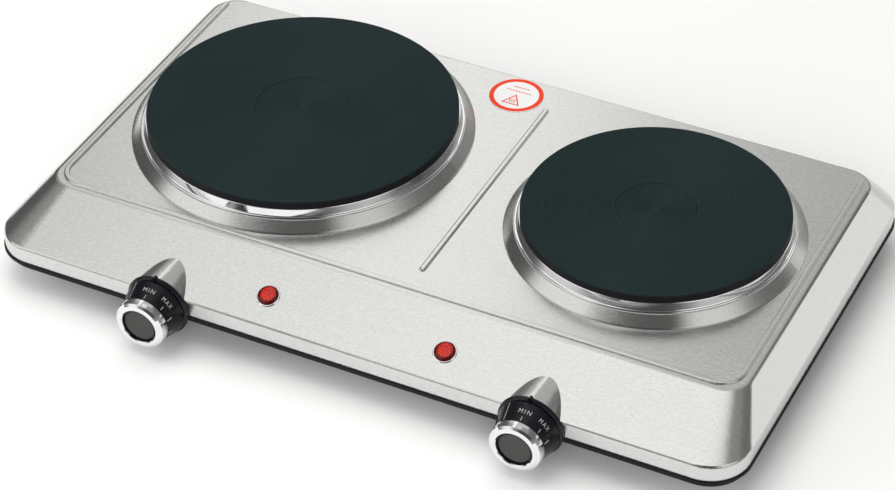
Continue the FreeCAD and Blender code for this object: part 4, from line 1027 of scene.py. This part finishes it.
@dataclass
class HeatMark(SubAssembly):
    """Round film on the deck with a printed ring and a plain heat sign.

    Attributes:
        ring: Outer and inner radius of the printed ring in millimetres.
        ink: Thickness of the print in millimetres.
        sign_base: Length of the sign's base in millimetres.
        sign_height: Height of the sign in millimetres.
        sign_foot: How far the base lies in front of the centre, in millimetres.
        stroke: Width of the sign's outline in millimetres.
        rows: Offset back, length and number of dashes of each printed row.
        row_half: Half of a dash's height in millimetres.
        dash_share: Share of its pitch that a dash fills.
        waves: Millimetres right of the centre of each wave.
        wave_foot: How far a wave starts behind the sign's base, in millimetres.
        wave_height: Height of a wave in millimetres.
        wave_width: Width of a wave in millimetres.
        wave_sway: How far a wave swings to each side in millimetres.
        wave_turns: Number of swings from foot to top.
        wave_steps: Steps along a wave.
        steps: Number of steps round the ring.
    """

    ring: tuple[float, float] = (16.5, 13.7)
    ink: float = 0.06
    sign_base: float = 11.6
    sign_height: float = 10.2
    sign_foot: float = 9.6
    stroke: float = 0.75
    rows: tuple[tuple[float, float, int], ...] = ((7.9, 10.6, 6), (3.9, 16.0, 9))
    row_half: float = 0.55
    dash_share: float = 0.7
    waves: tuple[float, ...] = (-1.5, 0.0, 1.5)
    wave_foot: float = 1.7
    wave_height: float = 3.4
    wave_width: float = 0.55
    wave_sway: float = 0.38
    wave_turns: float = 1.2
    wave_steps: int = 14
    steps: int = 96

    def build(self) -> None:
        """Dress the film and lay the print on it."""
        self.dress(["heat_mark"], WHITE_FILM.material())
        red = RED_INK.material()
        self.print_ring(red)
        self.print_sign(red)
        self.print_rows(PALE_INK.material())

    def slab(self, name: str, loops: Sequence[Loop], faces: Sequence[Sequence[int]],
             material: bpy.types.Material) -> None:
        """Thin printed layer from flat corners.

        Args:
            name: Name of the piece.
            loops: Corner loops as millimetres right and back of the centre, walked anticlockwise round the ink.
            faces: Upper faces, as numbers into all loops joined.
            material: Material of the print.
        """
        low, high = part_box("heat_mark")
        centre = (low + high) / 2 / MM
        level = high.z / MM
        flat = [corner for loop in loops for corner in loop]
        count = len(flat)
        points = [(centre.x + x, centre.y + y, level + self.ink) for x, y in flat]
        points += [(centre.x + x, centre.y + y, level - self.ink / 2) for x, y in flat]
        made = [list(f) for f in faces]
        made += [[i + count for i in reversed(f)] for f in faces]
        start = 0
        for loop in loops:
            size = len(loop)
            for step in range(size):
                a, b = start + step, start + (step + 1) % size
                made.append([b, a, a + count, b + count])
            start += size
        self.add(name, points, made, material, slot="mark_film", smooth=None)

    def print_ring(self, material: bpy.types.Material) -> None:
        """Print the ring near the film's edge.

        Args:
            material: Material of the print.
        """
        def circle(radius: float, way: int) -> Loop:
            """Corners of a circle, anticlockwise for way 1."""
            turns = [way * FULL_TURN * step / self.steps for step in range(self.steps)]
            return [(radius * math.cos(t), radius * math.sin(t)) for t in turns]

        outer, inner = self.ring
        count = self.steps
        faces = []
        for step in range(count):
            after = (step + 1) % count
            faces.append([step, after, count + (count - after) % count, count + (count - step) % count])
        self.slab("mark_ring", [circle(outer, 1), circle(inner, -1)], faces, material)

    def print_sign(self, material: bpy.types.Material) -> None:
        """Print a triangle outline with three rising waves inside.

        Args:
            material: Material of the print.
        """
        half = self.sign_base / 2
        foot = -self.sign_foot
        apex = foot + self.sign_height
        outer = [(-half, foot), (half, foot), (0.0, apex)]
        mid = (0.0, foot + self.sign_height / 3)
        inset = 1.0 - self.stroke / (self.sign_height / 3)
        inner = [(mid[0] + (x - mid[0]) * inset, mid[1] + (y - mid[1]) * inset) for x, y in outer]
        inner = [inner[0], inner[2], inner[1]]
        faces = [[0, 1, 5, 3], [1, 2, 4, 5], [2, 0, 3, 4]]
        self.slab("mark_sign", [outer, inner], faces, material)
        for number, across in enumerate(self.waves):
            loop, strip = self.wave(across, foot + self.wave_foot)
            self.slab(f"mark_wave_{number + 1}", [loop], strip, material)

    def wave(self, across: float, foot: float) -> tuple[Loop, list[list[int]]]:
        """Corners of one rising wave.

        Args:
            across: Millimetres right of the centre.
            foot: Millimetres back of the centre where it starts.

        Returns:
            Its loop and its faces.
        """
        right: Loop = []
        left: Loop = []
        for step in range(self.wave_steps + 1):
            rise = step / self.wave_steps
            sway = self.wave_sway * math.sin(rise * FULL_TURN * self.wave_turns)
            right.append((across + sway + self.wave_width / 2, foot + rise * self.wave_height))
            left.append((across + sway - self.wave_width / 2, foot + rise * self.wave_height))
        loop = right + left[::-1]
        last = len(loop) - 1
        faces = [[step, step + 1, last - step - 1, last - step] for step in range(self.wave_steps)]
        return loop, faces

    def print_rows(self, material: bpy.types.Material) -> None:
        """Print rows of plain dashes above the sign.

        Args:
            material: Material of the print.
        """
        for number, (back, length, dashes) in enumerate(self.rows):
            pitch = length / dashes
            near, far = back - self.row_half, back + self.row_half
            for dash in range(dashes):
                left = -length / 2 + pitch * dash + pitch * (1.0 - self.dash_share) / 2
                right = left + pitch * self.dash_share
                loop = [(left, near), (right, near), (right, far), (left, far)]
                self.slab(f"mark_dash_{number + 1}_{dash + 1}", [loop], [[0, 1, 2, 3]], material)


class Sky:
    """Node tree of the soft surround, as a function of the direction looked in."""

    def __init__(self, tree: bpy.types.NodeTree) -> None:
        """Work in the world's node tree."""
        self.tree = tree
        self.way = tree.nodes.new("ShaderNodeTexCoord").outputs["Generated"]

    def toward(self, heading: Point) -> bpy.types.NodeSocket:
        """How nearly the direction follows a heading.

        Args:
            heading: The heading, of any length.

        Returns:
            A value output: one straight at the heading, nought at right angles to it.
        """
        dot = self.tree.nodes.new("ShaderNodeVectorMath")
        dot.operation = "DOT_PRODUCT"
        self.tree.links.new(self.way, dot.inputs[0])
        dot.inputs[1].default_value = Vector(heading).normalized()
        return dot.outputs["Value"]

    def span(self, value: bpy.types.NodeSocket, start: float, end: float) -> bpy.types.NodeSocket:
        """Smooth step from nought to one.

        Args:
            value: Value to read.
            start: Reading that gives nought.
            end: Reading that gives one.

        Returns:
            A value output.
        """
        made = self.tree.nodes.new("ShaderNodeMapRange")
        made.interpolation_type = "SMOOTHSTEP"
        self.tree.links.new(value, made.inputs["Value"])
        made.inputs["From Min"].default_value = start
        made.inputs["From Max"].default_value = end
        return made.outputs["Result"]

    def lerp(self, factor: bpy.types.NodeSocket, base: Any, top: float) -> bpy.types.NodeSocket:
        """Blend from a value to a constant.

        Args:
            factor: Nought keeps the value, one gives the constant.
            base: Value to start from.
            top: The constant.

        Returns:
            A value output.
        """
        made = self.tree.nodes.new("ShaderNodeMix")
        self.tree.links.new(factor, made.inputs["Factor"])
        if isinstance(base, bpy.types.NodeSocket):
            self.tree.links.new(base, made.inputs[2])
        else:
            made.inputs[2].default_value = base
        made.inputs[3].default_value = top
        return made.outputs[0]

    def product(self, first: bpy.types.NodeSocket, second: bpy.types.NodeSocket) -> bpy.types.NodeSocket:
        """Product of two values.

        Args:
            first: One value.
            second: The other value.

        Returns:
            The product.
        """
        made = self.tree.nodes.new("ShaderNodeMath")
        made.operation = "MULTIPLY"
        self.tree.links.new(first, made.inputs[0])
        self.tree.links.new(second, made.inputs[1])
        return made.outputs["Value"]

    def finish(self, strength: bpy.types.NodeSocket, factor: bpy.types.NodeSocket, left: Colour,
               right: Colour) -> None:
        """Send strength and colour to the background.

        Args:
            strength: Brightness.
            factor: Nought gives the left colour, one the right.
            left: Colour on the left.
            right: Colour on the right.
        """
        mix = self.tree.nodes.new("ShaderNodeMix")
        mix.data_type = "RGBA"
        self.tree.links.new(factor, mix.inputs["Factor"])
        mix.inputs[6].default_value = (*left, 1.0)
        mix.inputs[7].default_value = (*right, 1.0)
        background = self.tree.nodes["Background"]
        self.tree.links.new(mix.outputs[2], background.inputs["Color"])
        self.tree.links.new(strength, background.inputs["Strength"])


@dataclass
class Studio(SubAssembly):
    """Pale floor, soft lights and the camera.

    Attributes:
        floor_reach: Half the floor's side in metres.
        base: Brightness of the surround.
        patches: Heading, edge, full edge and brightness of each soft patch; an edge is a cosine from the heading.
        window: Start and end of the window's left edge, then of its right edge, as cosines from the right.
        window_heading: Where the window stands.
        window_rise: Start and end of the window's upper and lower edge, as cosines from its heading.
        window_level: Brightness of the window.
        tint_span: Cosines from the right where the colour is all warm and all cool.
        warm: Colour of the surround on the left.
        cool: Colour of the surround on the right.
        lights: Name, place, aim, size, power and colour of each soft box.
        azimuth: Camera angle round the object in degrees.
        elevation: Camera angle above the floor in degrees.
        roll: Camera roll in degrees.
        distance: Camera distance from the target in metres.
        target: Point that the camera looks at, in metres.
        lens: Focal length in millimetres on the standard sensor.
    """

    azimuth: float = 26.7825
    elevation: float = 39.0693
    roll: float = -0.7743
    distance: float = 1.6390
    target: Point = (0.02048, -0.0340, 0.0480)
    lens: float = 116.893
    floor_reach: float = 30.0
    base: float = 0.30
    patches: tuple[tuple[Point, float, float, float], ...] = (
        ((-0.12, -0.15, 0.98), 0.85, 0.96, 1.22),
        ((-0.66, -0.50, 0.56), 0.88, 0.96, 1.05),
        ((-0.20, 0.75, 0.62), 0.80, 0.90, 0.56),
        ((0.68, 0.73, 0.00), 0.94, 0.975, 1.14),
        ((-0.96, 0.27, 0.11), 0.76, 0.92, 0.11),
        ((0.35, -0.69, 0.63), 0.80, 0.92, 0.07),
        ((0.66, 0.50, 0.56), 0.90, 0.975, 0.16),
        ((0.76, -0.30, 0.58), 0.90, 0.97, 0.95),
    )
    window: tuple[float, float, float, float] = (-0.52, -0.37, -0.33, -0.26)
    window_heading: Point = (-0.30, 0.72, 0.63)
    window_rise: tuple[float, float] = (0.80, 0.90)
    window_level: float = 1.22
    tint_span: tuple[float, float] = (-0.6, 0.6)
    warm: Colour = (0.99, 0.98, 0.96)
    cool: Colour = (1.0, 0.985, 0.965)
    lights: tuple[tuple[str, Point, Point, tuple[float, float], float, Colour], ...] = (
        ("overhead", (-0.3, 0.2, 1.7), (0.0, 0.0, 0.0), (1.6, 1.4), 12.0, (1.0, 1.0, 1.0)),
        ("front_fill", (0.4, -1.7, 0.8), (0.0, -0.1, 0.0), (1.8, 1.0), 20.0, (1.0, 1.0, 1.0)),
        ("left_fill", (-1.7, -0.5, 0.8), (0.0, -0.1, 0.0), (1.4, 1.0), 11.0, (1.0, 1.0, 1.0)),
    )

    def build(self) -> None:
        """Set up floor, lights, world and camera."""
        self.lay_floor()
        for light in self.lights:
            self.hang_light(*light)
        self.tint_world()
        self.place_camera()
        settings = bpy.context.scene.view_settings
        settings.view_transform = "Standard"
        settings.look = "None"

    def lay_floor(self) -> None:
        """Lay the floor at height nought."""
        reach = self.floor_reach / MM
        corners = [(-reach, -reach, 0.0), (reach, -reach, 0.0), (reach, reach, 0.0), (-reach, reach, 0.0)]
        mesh = bpy.data.meshes.new("floor")
        mesh.from_pydata([Vector(c) * MM for c in corners], [], [[0, 1, 2, 3]])
        mesh.materials.append(FLOOR_PAINT.material())
        floor = bpy.data.objects.new("floor", mesh)
        bpy.context.scene.collection.objects.link(floor)

    def hang_light(self, name: str, place: Point, aim: Point, size: tuple[float, float], power: float,
                   colour: Colour) -> None:
        """Hang one soft box.

        Args:
            name: Name of the light.
            place: Where it hangs, in metres.
            aim: Point that it faces.
            size: Width and height in metres.
            power: Power in watts.
            colour: Colour of the light.
        """
        lamp = bpy.data.lights.new(name, "AREA")
        lamp.shape = "RECTANGLE"
        lamp.size, lamp.size_y = size
        lamp.energy = power
        lamp.color = colour
        box = bpy.data.objects.new(name, lamp)
        box.location = place
        box.rotation_mode = "QUATERNION"
        box.rotation_quaternion = (Vector(aim) - Vector(place)).to_track_quat("-Z", "Y")
        box.visible_camera = False
        box.visible_glossy = False
        bpy.context.scene.collection.objects.link(box)

    def tint_world(self) -> None:
        """Surround the object with soft light, brighter overhead and behind than in front."""
        world = bpy.data.worlds.new("studio")
        world.use_nodes = True
        sky = Sky(world.node_tree)
        strength: Any = self.base
        for heading, start, end, level in self.patches:
            strength = sky.lerp(sky.span(sky.toward(heading), start, end), strength, level)
        strength = sky.lerp(self.window_shape(sky), strength, self.window_level)
        side = sky.span(sky.toward((1.0, 0.0, 0.0)), *self.tint_span)
        sky.finish(strength, side, self.warm, self.cool)
        bpy.context.scene.world = world

    def window_shape(self, sky: Sky) -> bpy.types.NodeSocket:
        """Soft-edged upright window behind the object.

        Args:
            sky: The world's nodes.

        Returns:
            One inside the window and nought outside it.
        """
        across = sky.toward((1.0, 0.0, 0.0))
        left, left_full, right_full, right = self.window
        sides = sky.product(sky.span(across, left, left_full), sky.span(across, right, right_full))
        return sky.product(sides, sky.span(sky.toward(self.window_heading), *self.window_rise))

    def place_camera(self) -> None:
        """Set the camera at the viewing angle."""
        turn, rise, roll = (math.radians(a) for a in (self.azimuth, self.elevation, self.roll))
        back = Vector((math.sin(turn) * math.cos(rise), -math.cos(turn) * math.cos(rise), math.sin(rise)))
        right = (-back).cross(Vector((0.0, 0.0, 1.0))).normalized()
        up = right.cross(-back)
        right_rolled = right * math.cos(roll) + up * math.sin(roll)
        up_rolled = up * math.cos(roll) - right * math.sin(roll)
        data = bpy.data.cameras.new("camera")
        data.lens = self.lens
        data.sensor_width = 36.0
        data.clip_start, data.clip_end = 0.05, 100.0
        camera = bpy.data.objects.new("camera", data)
        pose = Matrix((right_rolled, up_rolled, back)).transposed().to_4x4()
        pose.translation = Vector(self.target) + back * self.distance
        camera.matrix_world = pose
        bpy.context.scene.collection.objects.link(camera)
        bpy.context.scene.camera = camera


def main() -> None:
    """Build every sub-assembly in order and report each of its pieces."""
    logging.basicConfig(level=logging.INFO, format="%(message)s")
    line_up: list[SubAssembly] = [
        Studio(),
        Housing(),
        HotPlate("large", 28.7),
        HotPlate("small", 23.6),
        Innards(),
        PilotLamp(),
        ControlKnob("left"),
        ControlKnob("right"),
        HeatMark(),
    ]
    for part in line_up:
        before = len(SubAssembly.finished)
        part.build()
        for piece in SubAssembly.finished[before:]:
            LOG.info("%s: %s", type(part).__name__, piece)


if __name__ == "__main__":
    main()
